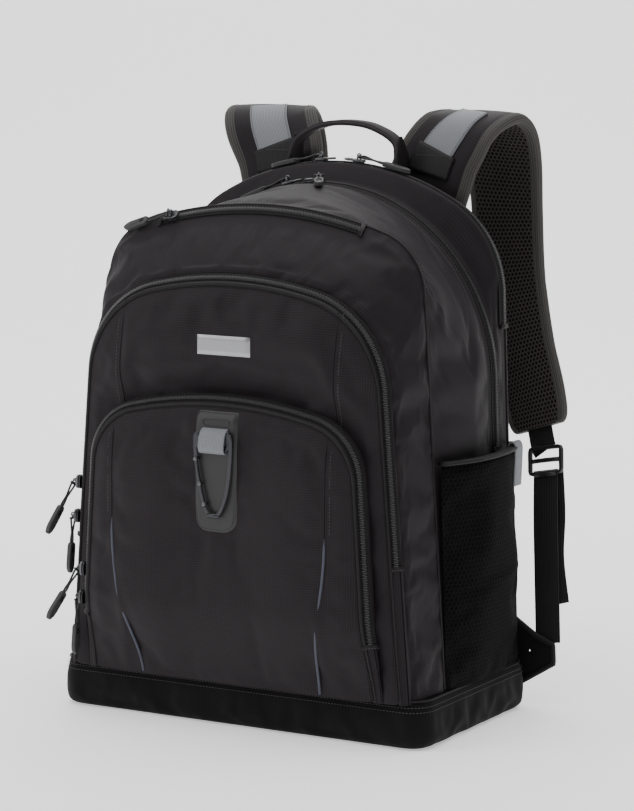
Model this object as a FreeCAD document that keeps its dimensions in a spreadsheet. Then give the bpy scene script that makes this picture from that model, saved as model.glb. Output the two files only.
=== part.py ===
"""School backpack: a zipped fabric pack with padded shoulder straps, standing on its base.

Frame: +Z up, the front (pocket side) faces -Y, the wearer's side faces +Y, the origin is the
middle of the base on the floor. Millimetres. The pack is a stack of arch-shaped outlines set one
behind the other along Y, as the real pack is cut: panels joined by gussets, with a zip in each.
"""
import FreeCAD, Part
import math
import os
import Sketcher
from FreeCAD import Placement, Rotation, Vector

# ---------------------------------------------------------------- driving dimensions
# Arch outlines. y: place along the depth; top: height of the crown; half: half width at the floor;
# lean: degrees that each side leans inward; crown, shoulder, corner: radii of the top arc, of the
# arc beside it and of the bottom corner; floor: height of the bottom edge.
OUTLINE_KEYS = ("y", "top", "half", "lean", "crown", "shoulder", "corner", "floor")
OUTLINES = {
    "back":       (76.0, 482.0, 177.0, 1.9, 240.0, 92.0, 24.0, 6.0),
    "pad":        (90.5, 478.0, 172.0, 1.9, 236.0, 88.0, 20.0, 46.0),
    "mainzip":    (50.0, 465.0, 181.0, 1.95, 173.0, 168.0, 24.0, 6.0),
    "mid":        (4.0, 462.0, 182.0, 1.95, 173.0, 163.0, 24.0, 6.0),
    "edge":       (-58.0, 454.0, 183.0, 3.6, 385.0, 55.0, 24.0, 6.0),
    "quick":      (-66.0, 445.5, 182.0, 3.7, 376.0, 56.0, 24.0, 6.0),
    "front":      (-100.0, 405.0, 179.0, 4.2, 352.0, 88.0, 24.0, 6.0),
    "upper_rim":  (-105.5, 397.0, 175.0, 4.5, 350.0, 90.0, 10.0, 44.0),
    "upper_face": (-117.0, 383.0, 163.0, 4.5, 338.0, 80.0, 10.0, 44.0),
    "lower_rim":  (-123.5, 295.0, 152.0, 3.7, 400.0, 57.0, 8.0, 44.0),
    "lower_face": (-136.0, 280.0, 138.0, 3.7, 388.0, 46.0, 8.0, 44.0),
}
SIZES = {
    "shell_wall": (2.4, "foam-lined fabric wall of the compartments"),
    "pocket_wall": (1.6, "fabric wall of the front pockets"),
    "pad_depth": (13.0, "thickness of the padded back panel"),
    "sheet_depth": (1.6, "thickness of the plastic frame sheet"),
    "divider_depth": (4.0, "thickness of the padded laptop divider"),
    "lining_depth": (1.2, "thickness of the organiser's lining"),
    "sheet_inset": (6.0, "how far the sheets inside stay in from the outline"),
    "sewn_gap": (0.1, "gap between sewn faces of one body"),
    "landing": (8.0, "half width of the level strip that a zip sits on"),
    "rim_half": (5.0, "half width of a pocket's rim, which its zip sits on"),
    "tape_half": (4.6, "half width of a zip tape"),
    "tape_rise": (1.2, "thickness of a zip tape"),
    "coil_half": (2.4, "half width of a closed zip coil"),
    "coil_rise": (2.4, "height of a zip coil over the fabric"),
    "main_zip_end": (240.0, "height where the main zip ends"),
    "laptop_zip_end": (345.0, "height where the laptop zip ends"),
    "upper_zip_end": (158.0, "height where the upper pocket's zip ends"),
    "fold_height": (92.0, "height where the lower pocket's flap folds"),
    "fold_gap": (0.6, "gap between the flap and what stays behind"),
    "quick_zip_half": (102.0, "half length of the quick-access zip"),
    "boot_half": (186.0, "half width of the base boot"),
    "boot_front": (-108.0, "front of the base boot"),
    "boot_back": (97.0, "back of the base boot"),
    "boot_height": (42.0, "height of the base boot"),
    "boot_wall": (2.4, "wall of the base boot"),
    "boot_corner": (22.0, "plan corner radius of the base boot"),
    "board_depth": (3.0, "thickness of the stiffening board in the base"),
    "board_inset": (12.0, "how far the board stays in from the boot"),
    "bottle_front": (-56.0, "front edge of the mesh bottle pocket"),
    "bottle_back": (82.0, "rear edge of the mesh bottle pocket"),
    "bottle_floor": (44.0, "underside of the mesh bottle pocket"),
    "bottle_top": (238.0, "height of the mesh bottle pocket's mouth"),
    "bottle_reach": (198.0, "how far out the mesh pocket stands"),
    "bottle_wall": (1.6, "thickness of the spacer mesh"),
    "binding_height": (7.0, "height of the elastic binding round the mouth"),
    "tab_height": (36.0, "height of the webbing tab on a bottle pocket"),
    "slider_length": (12.0, "length of a zip slider"),
    "slider_width": (8.6, "width of a zip slider"),
    "slider_lift": (3.1, "height of a slider's underside over the fabric"),
    "slider_rise": (2.4, "thickness of a slider's body"),
    "bail_height": (8.4, "height of the bail's bar over the fabric"),
    "bail_bar": (0.7, "radius of the bail's bar"),
    "bail_half": (3.0, "half span of the bail"),
    "bail_sink": (0.5, "how far a bail's posts run into the slider's body"),
    "tee_gap": (0.1, "gap between a pull's eye and its tee bar"),
    "cord_sink": (1.0, "how far a pull's cord runs into its tee bar and its grip"),
    "bail_post": (1.4, "width of a bail's post"),
    "lock_ring": (4.0, "mean radius of a lockable slider's ring"),
    "ring_wire": (1.0, "radius of that ring's wire"),
    "eye_ring": (1.9, "mean radius of a pull's eye"),
    "eye_wire": (0.7, "radius of the eye's wire"),
    "tee_half": (4.0, "half length of a pull's tee bar"),
    "tee_width": (3.0, "width of a pull's tee bar"),
    "tee_depth": (1.8, "thickness of a pull's tee bar"),
    "cord_radius": (0.9, "radius of a pull's cord"),
    "cord_gap": (1.3, "half distance between a pull's two strands of cord"),
    "cord_reach": (22.0, "length of cord between the tee and the grip"),
    "grip_length": (28.0, "length of a pull's moulded grip"),
    "grip_width": (8.6, "width of a pull's moulded grip"),
    "grip_depth": (4.4, "thickness of a pull's moulded grip"),
    "badge_width": (54.0, "width of the plain badge"),
    "badge_height": (18.0, "height of the plain badge"),
    "badge_bottom": (329.0, "underside of the plain badge"),
    "badge_depth": (1.2, "thickness of the plain badge"),
    "patch_width": (42.0, "width of the clip's backing patch"),
    "patch_top": (276.0, "top of the clip's backing patch"),
    "patch_bottom": (178.0, "bottom of the clip's backing patch"),
    "patch_depth": (1.4, "thickness of the clip's backing patch"),
    "clip_y": (-142.0, "depth of the clip's middle plane"),
    "clip_depth": (3.4, "thickness of the clip's frame"),
    "clip_bar": (252.0, "height of the clip's top bar"),
    "clip_hinge": (266.5, "height where the clip's webbing leaves the patch"),
    "clip_web_half": (13.0, "half width of the clip's webbing"),
    "clip_tunnel": (2.7, "radius of the fold of webbing round the clip's bar"),
    "clip_top": (264.0, "top of the clip's ears"),
    "clip_foot": (191.0, "foot of the clip"),
    "clip_half": (19.0, "half width of the clip at its top"),
    "clip_toe": (6.0, "half width of the clip at its foot"),
    "clip_wire": (3.6, "width of the clip's bars"),
    "piping_radius": (1.1, "radius of the reflective piping"),
    "piping_top": (183.0, "top of the reflective piping"),
    "piping_foot": (46.0, "foot of the reflective piping"),
    "piping_foot_half": (92.0, "half distance between the two lines of piping at their foot"),
    "piping_top_half": (101.0, "half distance between the two lines of piping at their top"),
    "piping_split_below": (1.0, "how far under the fold the lower piping ends"),
    "piping_split_above": (2.5, "how far over the fold the upper piping starts"),
    "handle_y": (92.0, "depth of the haul handle"),
    "handle_half": (54.0, "half span of the haul handle"),
    "handle_hinge": (483.0, "height where the haul handle bends from its anchors"),
    "handle_kink": (500.0, "height where the handle's legs turn into its grip"),
    "handle_top": (519.0, "height of the middle of the haul handle's grip"),
    "handle_width": (13.0, "width of the haul handle's folded webbing"),
    "handle_depth": (4.0, "thickness of the haul handle's folded webbing"),
    "strap_depth": (10.0, "thickness of a padded shoulder strap"),
    "loop_width": (35.0, "width of a strap's gear loop"),
    "loop_depth": (2.4, "thickness of a strap's gear loop"),
    "webbing_width": (25.0, "width of the strap's webbing"),
    "webbing_depth": (1.5, "thickness of the strap's webbing"),
    "lock_width": (36.0, "width of the ladder lock"),
    "lock_height": (27.0, "height of the ladder lock"),
    "lock_depth": (4.5, "thickness of the ladder lock"),
    "lock_bar": (4.0, "width of the ladder lock's bars"),
    "wing_depth": (3.0, "thickness of a strap wing"),
}

doc = FreeCAD.newDocument("school_backpack")
sheet = doc.addObject("Spreadsheet::Sheet", "Dims")
D = {}


def fill_sheet():
    """Writes every driving dimension to the sheet, each in a cell with an alias."""
    rows = [(name, value, meaning) for name, (value, meaning) in SIZES.items()]
    for outline, numbers in OUTLINES.items():
        rows += [(f"{outline}_{key}", value, "outline") for key, value in zip(OUTLINE_KEYS, numbers)]
    for row, (alias, value, meaning) in enumerate(rows, start=1):
        sheet.set(f"A{row}", alias)
        sheet.set(f"B{row}", str(value))
        sheet.setAlias(f"B{row}", alias)
        sheet.set(f"C{row}", meaning)
        D[alias] = value


fill_sheet()
doc.recompute()


# ---------------------------------------------------------------- helpers
def new_body(label):
    body = doc.addObject("PartDesign::Body", label)
    body.Label = label
    return body


def plane(body, role):
    return next(f for f in body.Origin.OriginFeatures if f.Role == role)


def new_sketch(body, name, role, offset):
    """A sketch on one of the body's own planes; offset is an expression along the plane's normal."""
    sketch = body.newObject("Sketcher::SketchObject", name)
    sketch.AttachmentSupport = [(plane(body, role), "")]
    sketch.MapMode = "FlatFace"
    sketch.setExpression("AttachmentOffset.Base.z", offset)
    return sketch


def name_constraint(sketch, name, constraint, expression):
    index = sketch.addConstraint(constraint)
    sketch.renameConstraint(index, name)
    sketch.setExpression(f"Constraints.{name}", expression)


def arch(outline, grow=0.0):
    """The numbers of an arch outline, offset outward by grow: centres, radii and angles."""
    lean = math.radians(D[f"{outline}_lean"])
    top = D[f"{outline}_top"] + grow
    half = D[f"{outline}_half"] + grow / math.cos(lean)
    crown = D[f"{outline}_crown"] + grow
    shoulder = D[f"{outline}_shoulder"] + grow
    corner = D[f"{outline}_corner"] + grow
    floor = D[f"{outline}_floor"] - grow
    slope = math.tan(lean)
    reach = half - shoulder / math.cos(lean)
    crown_z = top - crown
    a = 1 + slope ** 2
    b = -2 * (reach * slope + crown_z)
    c = reach ** 2 + crown_z ** 2 - (crown - shoulder) ** 2
    shoulder_z = (-b + math.sqrt(b ** 2 - 4 * a * c)) / (2 * a)
    shoulder_x = reach - shoulder_z * slope
    corner_z = floor + corner
    corner_x = half - (corner + corner_z * math.sin(lean)) / math.cos(lean)
    return {"lean": lean, "crown": crown, "shoulder": shoulder, "corner": corner, "floor": floor,
            "crown_z": crown_z, "shoulder_at": (shoulder_x, shoulder_z),
            "corner_at": (corner_x, corner_z), "half": half,
            "join": math.atan2(shoulder_z - crown_z, shoulder_x)}


def circle_arc(x, z, radius, start, end):
    return Part.ArcOfCircle(Part.Circle(Vector(x, z, 0), Vector(0, 0, 1), radius), start, end)


def arch_sketch(body, name, outline, y, grow=0.0, grow_text="0"):
    """A closed arch outline as a constrained sketch at y (an expression), offset outward by grow."""
    n = arch(outline, grow)
    sx, sz = n["shoulder_at"]
    cx, cz = n["corner_at"]
    lean, join = n["lean"], n["join"]
    foot = Vector(cx + n["corner"] * math.cos(lean), cz + n["corner"] * math.sin(lean), 0)
    head = Vector(sx + n["shoulder"] * math.cos(lean), sz + n["shoulder"] * math.sin(lean), 0)
    sketch = new_sketch(body, name, "XZ_Plane", f"-({y})")
    sketch.addGeometry([
        Part.LineSegment(Vector(-cx, n["floor"], 0), Vector(cx, n["floor"], 0)),
        circle_arc(cx, cz, n["corner"], -math.pi / 2, lean),
        Part.LineSegment(foot, head),
        circle_arc(sx, sz, n["shoulder"], lean, join),
        circle_arc(0, n["crown_z"], n["crown"], join, math.pi - join),
        circle_arc(-sx, sz, n["shoulder"], math.pi - join, math.pi - lean),
        Part.LineSegment(Vector(-head.x, head.y, 0), Vector(-foot.x, foot.y, 0)),
        circle_arc(-cx, cz, n["corner"], math.pi - lean, 1.5 * math.pi),
    ], False)
    for first in range(8):
        sketch.addConstraint(Sketcher.Constraint("Tangent", first, 2, (first + 1) % 8, 1))
    sketch.addConstraint([
        Sketcher.Constraint("Horizontal", 0),
        Sketcher.Constraint("PointOnObject", 4, 3, -2),
        Sketcher.Constraint("Equal", 3, 5),
        Sketcher.Constraint("Equal", 1, 7),
        Sketcher.Constraint("Symmetric", 2, 1, 6, 2, -2),
    ])
    o, g = f"Dims.{outline}", f"({grow_text})"
    lean_text = f"({o}_lean * 1 deg)"
    half_text = f"({o}_half + {g} / cos{lean_text})"
    corner_text = f"({o}_corner + {g})"
    centre_text = f"({o}_floor - {g} + {corner_text})"
    name_constraint(sketch, "crown", Sketcher.Constraint("Radius", 4, n["crown"]), f"{o}_crown + {g}")
    name_constraint(sketch, "shoulder", Sketcher.Constraint("Radius", 3, n["shoulder"]),
                    f"{o}_shoulder + {g}")
    name_constraint(sketch, "corner", Sketcher.Constraint("Radius", 1, n["corner"]), corner_text)
    name_constraint(sketch, "crown_height", Sketcher.Constraint("DistanceY", -1, 1, 4, 3, n["crown_z"]),
                    f"{o}_top - {o}_crown")
    name_constraint(sketch, "floor", Sketcher.Constraint("DistanceY", -1, 1, 0, 1, n["floor"]),
                    f"{o}_floor - {g}")
    name_constraint(sketch, "lean", Sketcher.Constraint("Angle", 2, math.pi / 2 + lean),
                    f"90 deg + {lean_text}")
    name_constraint(sketch, "half", Sketcher.Constraint("DistanceX", -1, 1, 1, 3, cx),
                    f"{half_text} - ({corner_text} + {centre_text} * sin{lean_text}) / cos{lean_text}")
    return sketch


def loft(body, kind, name, sketches):
    """Joins sketches front to back by flat-ruled skins. kind is Additive or Subtractive."""
    feature = body.newObject(f"PartDesign::{kind}Loft", name)
    feature.Profile = sketches[0]
    feature.Sections = sketches[1:]
    feature.Ruled = True
    return feature


def arch_stack(body, kind, name, steps, grow=0.0, grow_text="0"):
    """Lofts arch outlines, each step an (outline, y expression)."""
    sketches = [arch_sketch(body, f"{name}_{i}", outline, y, grow, grow_text)
                for i, (outline, y) in enumerate(steps)]
    return loft(body, kind, name, sketches)


def bind(obj, prop, expression):
    obj.setExpression(prop, expression)


def rectangle_sketch(body, name, role, offset, low, high, texts):
    """A rectangle between the corners low and high; texts binds its left, bottom, width, height."""
    (x0, z0), (x1, z1) = low, high
    sketch = new_sketch(body, name, role, offset)
    corners = [Vector(x0, z0, 0), Vector(x1, z0, 0), Vector(x1, z1, 0), Vector(x0, z1, 0)]
    sketch.addGeometry([Part.LineSegment(corners[i], corners[(i + 1) % 4]) for i in range(4)], False)
    for first in range(4):
        sketch.addConstraint(Sketcher.Constraint("Coincident", first, 2, (first + 1) % 4, 1))
    for side in (0, 2):
        sketch.addConstraint(Sketcher.Constraint("Horizontal", side))
        sketch.addConstraint(Sketcher.Constraint("Vertical", side + 1))
    left, bottom, width, height = texts
    name_constraint(sketch, "left", Sketcher.Constraint("DistanceX", -1, 1, 0, 1, x0), left)
    name_constraint(sketch, "bottom", Sketcher.Constraint("DistanceY", -1, 1, 0, 1, z0), bottom)
    name_constraint(sketch, "width", Sketcher.Constraint("DistanceX", 0, 1, 0, 2, x1 - x0), width)
    name_constraint(sketch, "height", Sketcher.Constraint("DistanceY", 1, 1, 1, 2, z1 - z0), height)
    return sketch


def pad(body, name, sketch, length, midplane=False):
    feature = body.newObject("PartDesign::Pad", name)
    feature.Profile = sketch
    feature.Midplane = midplane
    bind(feature, "Length", length)
    return feature


def cut_both_ways(body, name, sketch, length):
    """Cuts a sketch's area out of the body, half the length to each side of the sketch."""
    feature = body.newObject("PartDesign::Pocket", name)
    feature.Profile = sketch
    feature.Midplane = True
    bind(feature, "Length", length)
    return feature


def cut_block(body, name, y_text, depth_text, low, high, texts):
    """Cuts a block centred on y_text, depth_text deep along Y, off a body."""
    return cut_both_ways(body, name, rectangle_sketch(body, f"{name}_sketch", "XZ_Plane", f"-({y_text})",
                                                      low, high, texts), depth_text)


def primitive(kind, name, placement=None, **sizes):
    """A Part primitive whose sizes are bound to expressions."""
    obj = doc.addObject(f"Part::{kind}", name)
    for prop, expression in sizes.items():
        bind(obj, prop, expression)
    if placement is not None:
        obj.Placement = placement
    return obj


def gather(kind, label, shapes, placement=None):
    """Part::MultiFuse makes one solid of the shapes, Part::Compound keeps them as separate solids."""
    obj = doc.addObject(f"Part::{kind}", label)
    if kind == "Compound":
        obj.Links = shapes
    else:
        obj.Shapes = shapes
    obj.Label = label
    if placement is not None:
        obj.Placement = placement
    return obj


def frame_placement(origin, x_axis, z_axis):
    """The placement whose local X and Z run along the given directions."""
    x_dir = Vector(x_axis).normalize()
    z_dir = Vector(z_axis).normalize()
    y_dir = z_dir.cross(x_dir)
    return Placement(Vector(origin), Rotation(x_dir, y_dir, z_dir, "ZXY"))


# ---------------------------------------------------------------- compartments
WHOLE = 1200.0


def shell(label, steps, wall, closed_front=False):
    """A band of fabric round the outlines, open at the back, and at the front too unless closed."""
    body = new_body(label)
    arch_stack(body, "Additive", f"{label}_skin", steps)
    inner = list(steps)
    if closed_front:
        outline, y_text = inner[0]
        inner[0] = (outline, f"{y_text} + Dims.{wall}")
    arch_stack(body, "Subtractive", f"{label}_room", inner, -D[wall], f"-Dims.{wall}")
    return body


def flat_panel(label, outline, y_text, depth, inset_text="0", inset=0.0):
    """A flat sheet in the shape of an outline, from y_text towards the back."""
    body = new_body(label)
    sketch = arch_sketch(body, f"{label}_sketch", outline, y_text, -inset, f"-{inset_text}")
    feature = pad(body, f"{label}_pad", sketch, f"Dims.{depth}")
    feature.Reversed = True
    return body


def make_compartments():
    landing = "Dims.landing"
    shell("main_compartment_shell", [
        ("edge", "Dims.edge_y"), ("mid", "Dims.mid_y"),
        ("mainzip", f"Dims.mainzip_y - {landing}"), ("mainzip", f"Dims.mainzip_y + {landing}"),
    ], "shell_wall")
    shell("laptop_compartment_shell", [
        ("mainzip", f"Dims.mainzip_y + {landing} + Dims.sewn_gap"),
        ("back", f"Dims.back_y - {landing}"), ("back", f"Dims.back_y + {landing}"),
    ], "shell_wall")
    shell("front_panel", [
        ("front", "Dims.front_y"), ("quick", "Dims.quick_y"), ("edge", "Dims.edge_y - Dims.sewn_gap"),
    ], "shell_wall", closed_front=True)
    inset = D["sheet_inset"]
    flat_panel("back_panel_pad", "pad", "Dims.pad_y - Dims.pad_depth / 2 + Dims.sewn_gap", "pad_depth")
    flat_panel("frame_sheet", "back", "Dims.back_y + Dims.landing - 2 * Dims.sheet_depth", "sheet_depth",
               "Dims.sheet_inset", inset)
    flat_panel("laptop_divider", "mainzip", "Dims.mainzip_y + Dims.landing + Dims.lining_depth",
               "divider_depth", "Dims.sheet_inset", inset)
    flat_panel("organizer_divider", "edge", "Dims.edge_y + Dims.landing", "lining_depth",
               "2.5 * Dims.sheet_inset", 2.5 * inset)


def make_upper_pocket():
    shell("upper_pocket_shell", [
        ("upper_face", "Dims.upper_face_y"), ("upper_rim", "Dims.upper_rim_y - Dims.rim_half"),
        ("upper_rim", "Dims.front_y - Dims.sewn_gap"),
    ], "pocket_wall", closed_front=True)
    badge = new_body("name_badge")
    face = rectangle_sketch(
        badge, "badge_sketch", "XZ_Plane", "-Dims.upper_face_y + Dims.sewn_gap",
        (-D["badge_width"] / 2, D["badge_bottom"]),
        (D["badge_width"] / 2, D["badge_bottom"] + D["badge_height"]),
        ("-Dims.badge_width / 2", "Dims.badge_bottom", "Dims.badge_width", "Dims.badge_height"))
    pad(badge, "badge_pad", face, "Dims.badge_depth")


def lower_pocket_steps():
    return [("lower_face", "Dims.lower_face_y"), ("lower_rim", "Dims.lower_rim_y - Dims.rim_half"),
            ("lower_rim", "Dims.upper_face_y - Dims.sewn_gap")]


def cut_above_fold(body, name):
    """Takes off everything that swings with the flap: above the fold, in front of the zip."""
    top = D["fold_height"]
    cut_block(body, name, "Dims.lower_rim_y - 50", "100", (-WHOLE / 4, top), (WHOLE / 4, top + WHOLE / 2),
              (f"-{WHOLE / 4}", "Dims.fold_height", f"{WHOLE / 2}", f"{WHOLE / 2}"))


def cut_below_fold(body, name):
    """Takes off everything that stays behind when the flap swings."""
    top = D["fold_height"] + D["fold_gap"]
    cut_block(body, f"{name}_foot", "Dims.lower_rim_y", "100",
              (-WHOLE / 4, top - WHOLE / 2), (WHOLE / 4, top),
              (f"-{WHOLE / 4}", f"Dims.fold_height + Dims.fold_gap - {WHOLE / 2}",
               f"{WHOLE / 2}", f"{WHOLE / 2}"))
    cut_block(body, f"{name}_gusset", "Dims.lower_rim_y - Dims.fold_gap + 50", "100",
              (-WHOLE / 4, 0), (WHOLE / 4, WHOLE / 2),
              (f"-{WHOLE / 4}", "0", f"{WHOLE / 2}", f"{WHOLE / 2}"))


def make_lower_pocket():
    fixed = shell("lower_pocket_shell", lower_pocket_steps(), "pocket_wall", closed_front=True)
    cut_above_fold(fixed, "lower_shell_cut")
    flap = shell("lower_pocket_flap", lower_pocket_steps(), "pocket_wall", closed_front=True)
    cut_below_fold(flap, "flap_cut")


# ---------------------------------------------------------------- zips
def zip_band(label, outline, end):
    """A zip tape and its coil, lying on the level strip of an outline, down to the end height."""
    body = new_body(label)
    gap = D["sewn_gap"]
    layers = (("tape", "tape_half", "tape_rise"), ("coil", "coil_half", "coil_rise"))
    for layer, half, rise in layers:
        steps = [(outline, f"Dims.{outline}_y - Dims.{half}"), (outline, f"Dims.{outline}_y + Dims.{half}")]
        arch_stack(body, "Additive", f"{label}_{layer}", steps, gap + D[rise],
                   f"Dims.sewn_gap + Dims.{rise}")
    steps = [(outline, f"Dims.{outline}_y - 2 * Dims.tape_half"),
             (outline, f"Dims.{outline}_y + 2 * Dims.tape_half")]
    arch_stack(body, "Subtractive", f"{label}_room", steps, gap, "Dims.sewn_gap")
    cut_block(body, f"{label}_end", f"Dims.{outline}_y", "100",
              (-WHOLE / 4, D[end] - WHOLE / 2), (WHOLE / 4, D[end]),
              (f"-{WHOLE / 4}", f"Dims.{end} - {WHOLE / 2}", f"{WHOLE / 2}", f"{WHOLE / 2}"))
    return body


def make_zips():
    zip_band("main_zip", "mainzip", "main_zip_end")
    zip_band("laptop_zip", "back", "laptop_zip_end")
    zip_band("upper_pocket_zip", "upper_rim", "upper_zip_end")
    outer = zip_band("lower_pocket_zip", "lower_rim", "fold_height")
    cut_above_fold(outer, "lower_zip_cut")
    inner = zip_band("lower_pocket_zip_inner", "lower_rim", "fold_height")
    cut_below_fold(inner, "inner_zip_cut")


def make_quick_zip():
    """The quick-access zip lies on the slope between two outlines and spans only the crown."""
    body = new_body("quick_access_zip")
    gap, rise = D["sewn_gap"], D["tape_rise"]
    steps = [("quick", "Dims.quick_y"), ("edge", "Dims.edge_y - Dims.sewn_gap")]
    arch_stack(body, "Additive", "quick_tape", steps, gap + rise, "Dims.sewn_gap + Dims.tape_rise")
    arch_stack(body, "Subtractive", "quick_room", steps, gap, "Dims.sewn_gap")
    floor = 400.0
    half = D["quick_zip_half"]
    cut_block(body, "quick_foot", "Dims.edge_y", "100", (-WHOLE / 4, floor - WHOLE / 2), (WHOLE / 4, floor),
              (f"-{WHOLE / 4}", f"{floor - WHOLE / 2}", f"{WHOLE / 2}", f"{WHOLE / 2}"))
    cut_block(body, "quick_left", "Dims.edge_y", "100", (-half - WHOLE / 2, 0), (-half, WHOLE / 2),
              (f"-Dims.quick_zip_half - {WHOLE / 2}", "0", f"{WHOLE / 2}", f"{WHOLE / 2}"))
    cut_block(body, "quick_right", "Dims.edge_y", "100", (half, 0), (half + WHOLE / 2, WHOLE / 2),
              ("Dims.quick_zip_half", "0", f"{WHOLE / 2}", f"{WHOLE / 2}"))


# ---------------------------------------------------------------- base
def rounded_block(body, name, z_text, half, front, back, corner, texts):
    """A plan rectangle with rounded corners, as a sketch at z_text."""
    half_text, front_text, back_text, corner_text = texts
    sketch = new_sketch(body, name, "XY_Plane", z_text)
    r = corner
    x, y0, y1 = half, front, back
    quarter = math.pi / 2
    sketch.addGeometry([
        Part.LineSegment(Vector(-x + r, y0, 0), Vector(x - r, y0, 0)),
        circle_arc(x - r, y0 + r, r, -quarter, 0),
        Part.LineSegment(Vector(x, y0 + r, 0), Vector(x, y1 - r, 0)),
        circle_arc(x - r, y1 - r, r, 0, quarter),
        Part.LineSegment(Vector(x - r, y1, 0), Vector(-x + r, y1, 0)),
        circle_arc(-x + r, y1 - r, r, quarter, 2 * quarter),
        Part.LineSegment(Vector(-x, y1 - r, 0), Vector(-x, y0 + r, 0)),
        circle_arc(-x + r, y0 + r, r, 2 * quarter, 3 * quarter),
    ], False)
    for first in range(8):
        sketch.addConstraint(Sketcher.Constraint("Tangent", first, 2, (first + 1) % 8, 1))
    sketch.addConstraint([Sketcher.Constraint("Horizontal", 4), Sketcher.Constraint("Vertical", 2),
                          Sketcher.Constraint("Vertical", 6), Sketcher.Constraint("Equal", 1, 3),
                          Sketcher.Constraint("Equal", 1, 5), Sketcher.Constraint("Equal", 1, 7),
                          Sketcher.Constraint("Symmetric", 0, 1, 0, 2, -2)])
    name_constraint(sketch, "corner", Sketcher.Constraint("Radius", 1, r), corner_text)
    name_constraint(sketch, "half", Sketcher.Constraint("DistanceX", -1, 1, 2, 1, x), half_text)
    name_constraint(sketch, "front", Sketcher.Constraint("DistanceY", -1, 1, 0, 1, y0), front_text)
    name_constraint(sketch, "back", Sketcher.Constraint("DistanceY", -1, 1, 4, 1, y1), back_text)
    return sketch


def make_base():
    boot = new_body("base_boot")
    outer = rounded_block(boot, "boot_plan", "0", D["boot_half"], D["boot_front"], D["boot_back"],
                          D["boot_corner"], ("Dims.boot_half", "Dims.boot_front", "Dims.boot_back",
                                             "Dims.boot_corner"))
    pad(boot, "boot_block", outer, "Dims.boot_height")
    wall = D["boot_wall"]
    room = rounded_block(boot, "boot_room_plan", "Dims.boot_height", D["boot_half"] - wall,
                         D["boot_front"] + wall, D["boot_back"] - wall, D["boot_corner"] - wall,
                         ("Dims.boot_half - Dims.boot_wall", "Dims.boot_front + Dims.boot_wall",
                          "Dims.boot_back - Dims.boot_wall", "Dims.boot_corner - Dims.boot_wall"))
    pocket = boot.newObject("PartDesign::Pocket", "boot_room")
    pocket.Profile = room
    bind(pocket, "Length", "Dims.boot_height - Dims.boot_wall")
    board = new_body("base_board")
    inset = D["board_inset"]
    plan = rounded_block(board, "board_plan", "Dims.boot_wall + Dims.sewn_gap", D["boot_half"] - inset,
                         D["boot_front"] + inset, D["boot_back"] - inset, D["boot_corner"] - inset / 2,
                         ("Dims.boot_half - Dims.board_inset", "Dims.boot_front + Dims.board_inset",
                          "Dims.boot_back - Dims.board_inset", "Dims.boot_corner - Dims.board_inset / 2"))
    pad(board, "board_block", plan, "Dims.board_depth")


# ---------------------------------------------------------------- bottle pockets
def side_at(outline, z):
    """Half width of an outline on its leaning side at height z."""
    return D[f"{outline}_half"] - z * math.tan(math.radians(D[f"{outline}_lean"]))


def side_text(outline, z_text):
    return f"(Dims.{outline}_half - ({z_text}) * tan(Dims.{outline}_lean * 1 deg))"


def bow_sketch(body, name, z_text, z, chord, chord_text, inset, inset_text):
    """A bow-shaped plan: a chord along the bag's side and the arc of the pocket's wall."""
    middle = (D["bottle_front"] + D["bottle_back"]) / 2
    half = (D["bottle_back"] - D["bottle_front"]) / 2 - inset
    rise = D["bottle_reach"] - inset - chord
    radius = (half ** 2 + rise ** 2) / (2 * rise)
    sweep = math.asin(half / radius)
    sketch = new_sketch(body, name, "XY_Plane", z_text)
    sketch.addGeometry([
        Part.LineSegment(Vector(chord, middle + half, 0), Vector(chord, middle - half, 0)),
        circle_arc(chord + rise - radius, middle, radius, -sweep, sweep),
    ], False)
    sketch.addConstraint([Sketcher.Constraint("Coincident", 0, 2, 1, 1),
                          Sketcher.Constraint("Coincident", 1, 2, 0, 1),
                          Sketcher.Constraint("Vertical", 0)])
    half_text = f"((Dims.bottle_back - Dims.bottle_front) / 2 - ({inset_text}))"
    rise_text = f"(Dims.bottle_reach - ({inset_text}) - {chord_text})"
    name_constraint(sketch, "chord", Sketcher.Constraint("DistanceX", -1, 1, 0, 2, chord), chord_text)
    name_constraint(sketch, "front", Sketcher.Constraint("DistanceY", -1, 1, 0, 2, middle - half),
                    f"Dims.bottle_front + ({inset_text})")
    name_constraint(sketch, "length", Sketcher.Constraint("DistanceY", 0, 2, 0, 1, 2 * half),
                    f"2 * {half_text}")
    name_constraint(sketch, "radius", Sketcher.Constraint("Radius", 1, radius),
                    f"({half_text} * {half_text} + {rise_text} * {rise_text}) / (2 * {rise_text})")
    return sketch


def bow_stack(body, kind, name, low, high, chord_inset, wall):
    """Lofts a bow from one height to another; low and high are (expression, number) pairs."""
    sketches = []
    for end, (z_text, z) in (("low", low), ("high", high)):
        chord = side_at("mid", z) + chord_inset[1]
        chord_text = f"({side_text('mid', z_text)} + {chord_inset[0]})"
        sketches.append(bow_sketch(body, f"{name}_{end}", z_text, z, chord, chord_text, wall[1], wall[0]))
    return loft(body, kind, name, sketches)


def mirrored(original, label):
    """The same sub-part on the wearer's other side."""
    mirror = doc.addObject("Part::Mirroring", label)
    mirror.Source = original
    mirror.Normal = Vector(1, 0, 0)
    mirror.Label = label
    return mirror


# Lowest corner of the webbing tab on the right pocket, and how far it turns with the pocket's wall.
TAB_CORNER = (188.4, 61.0, 206.0)
TAB_TURN = 28


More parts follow.
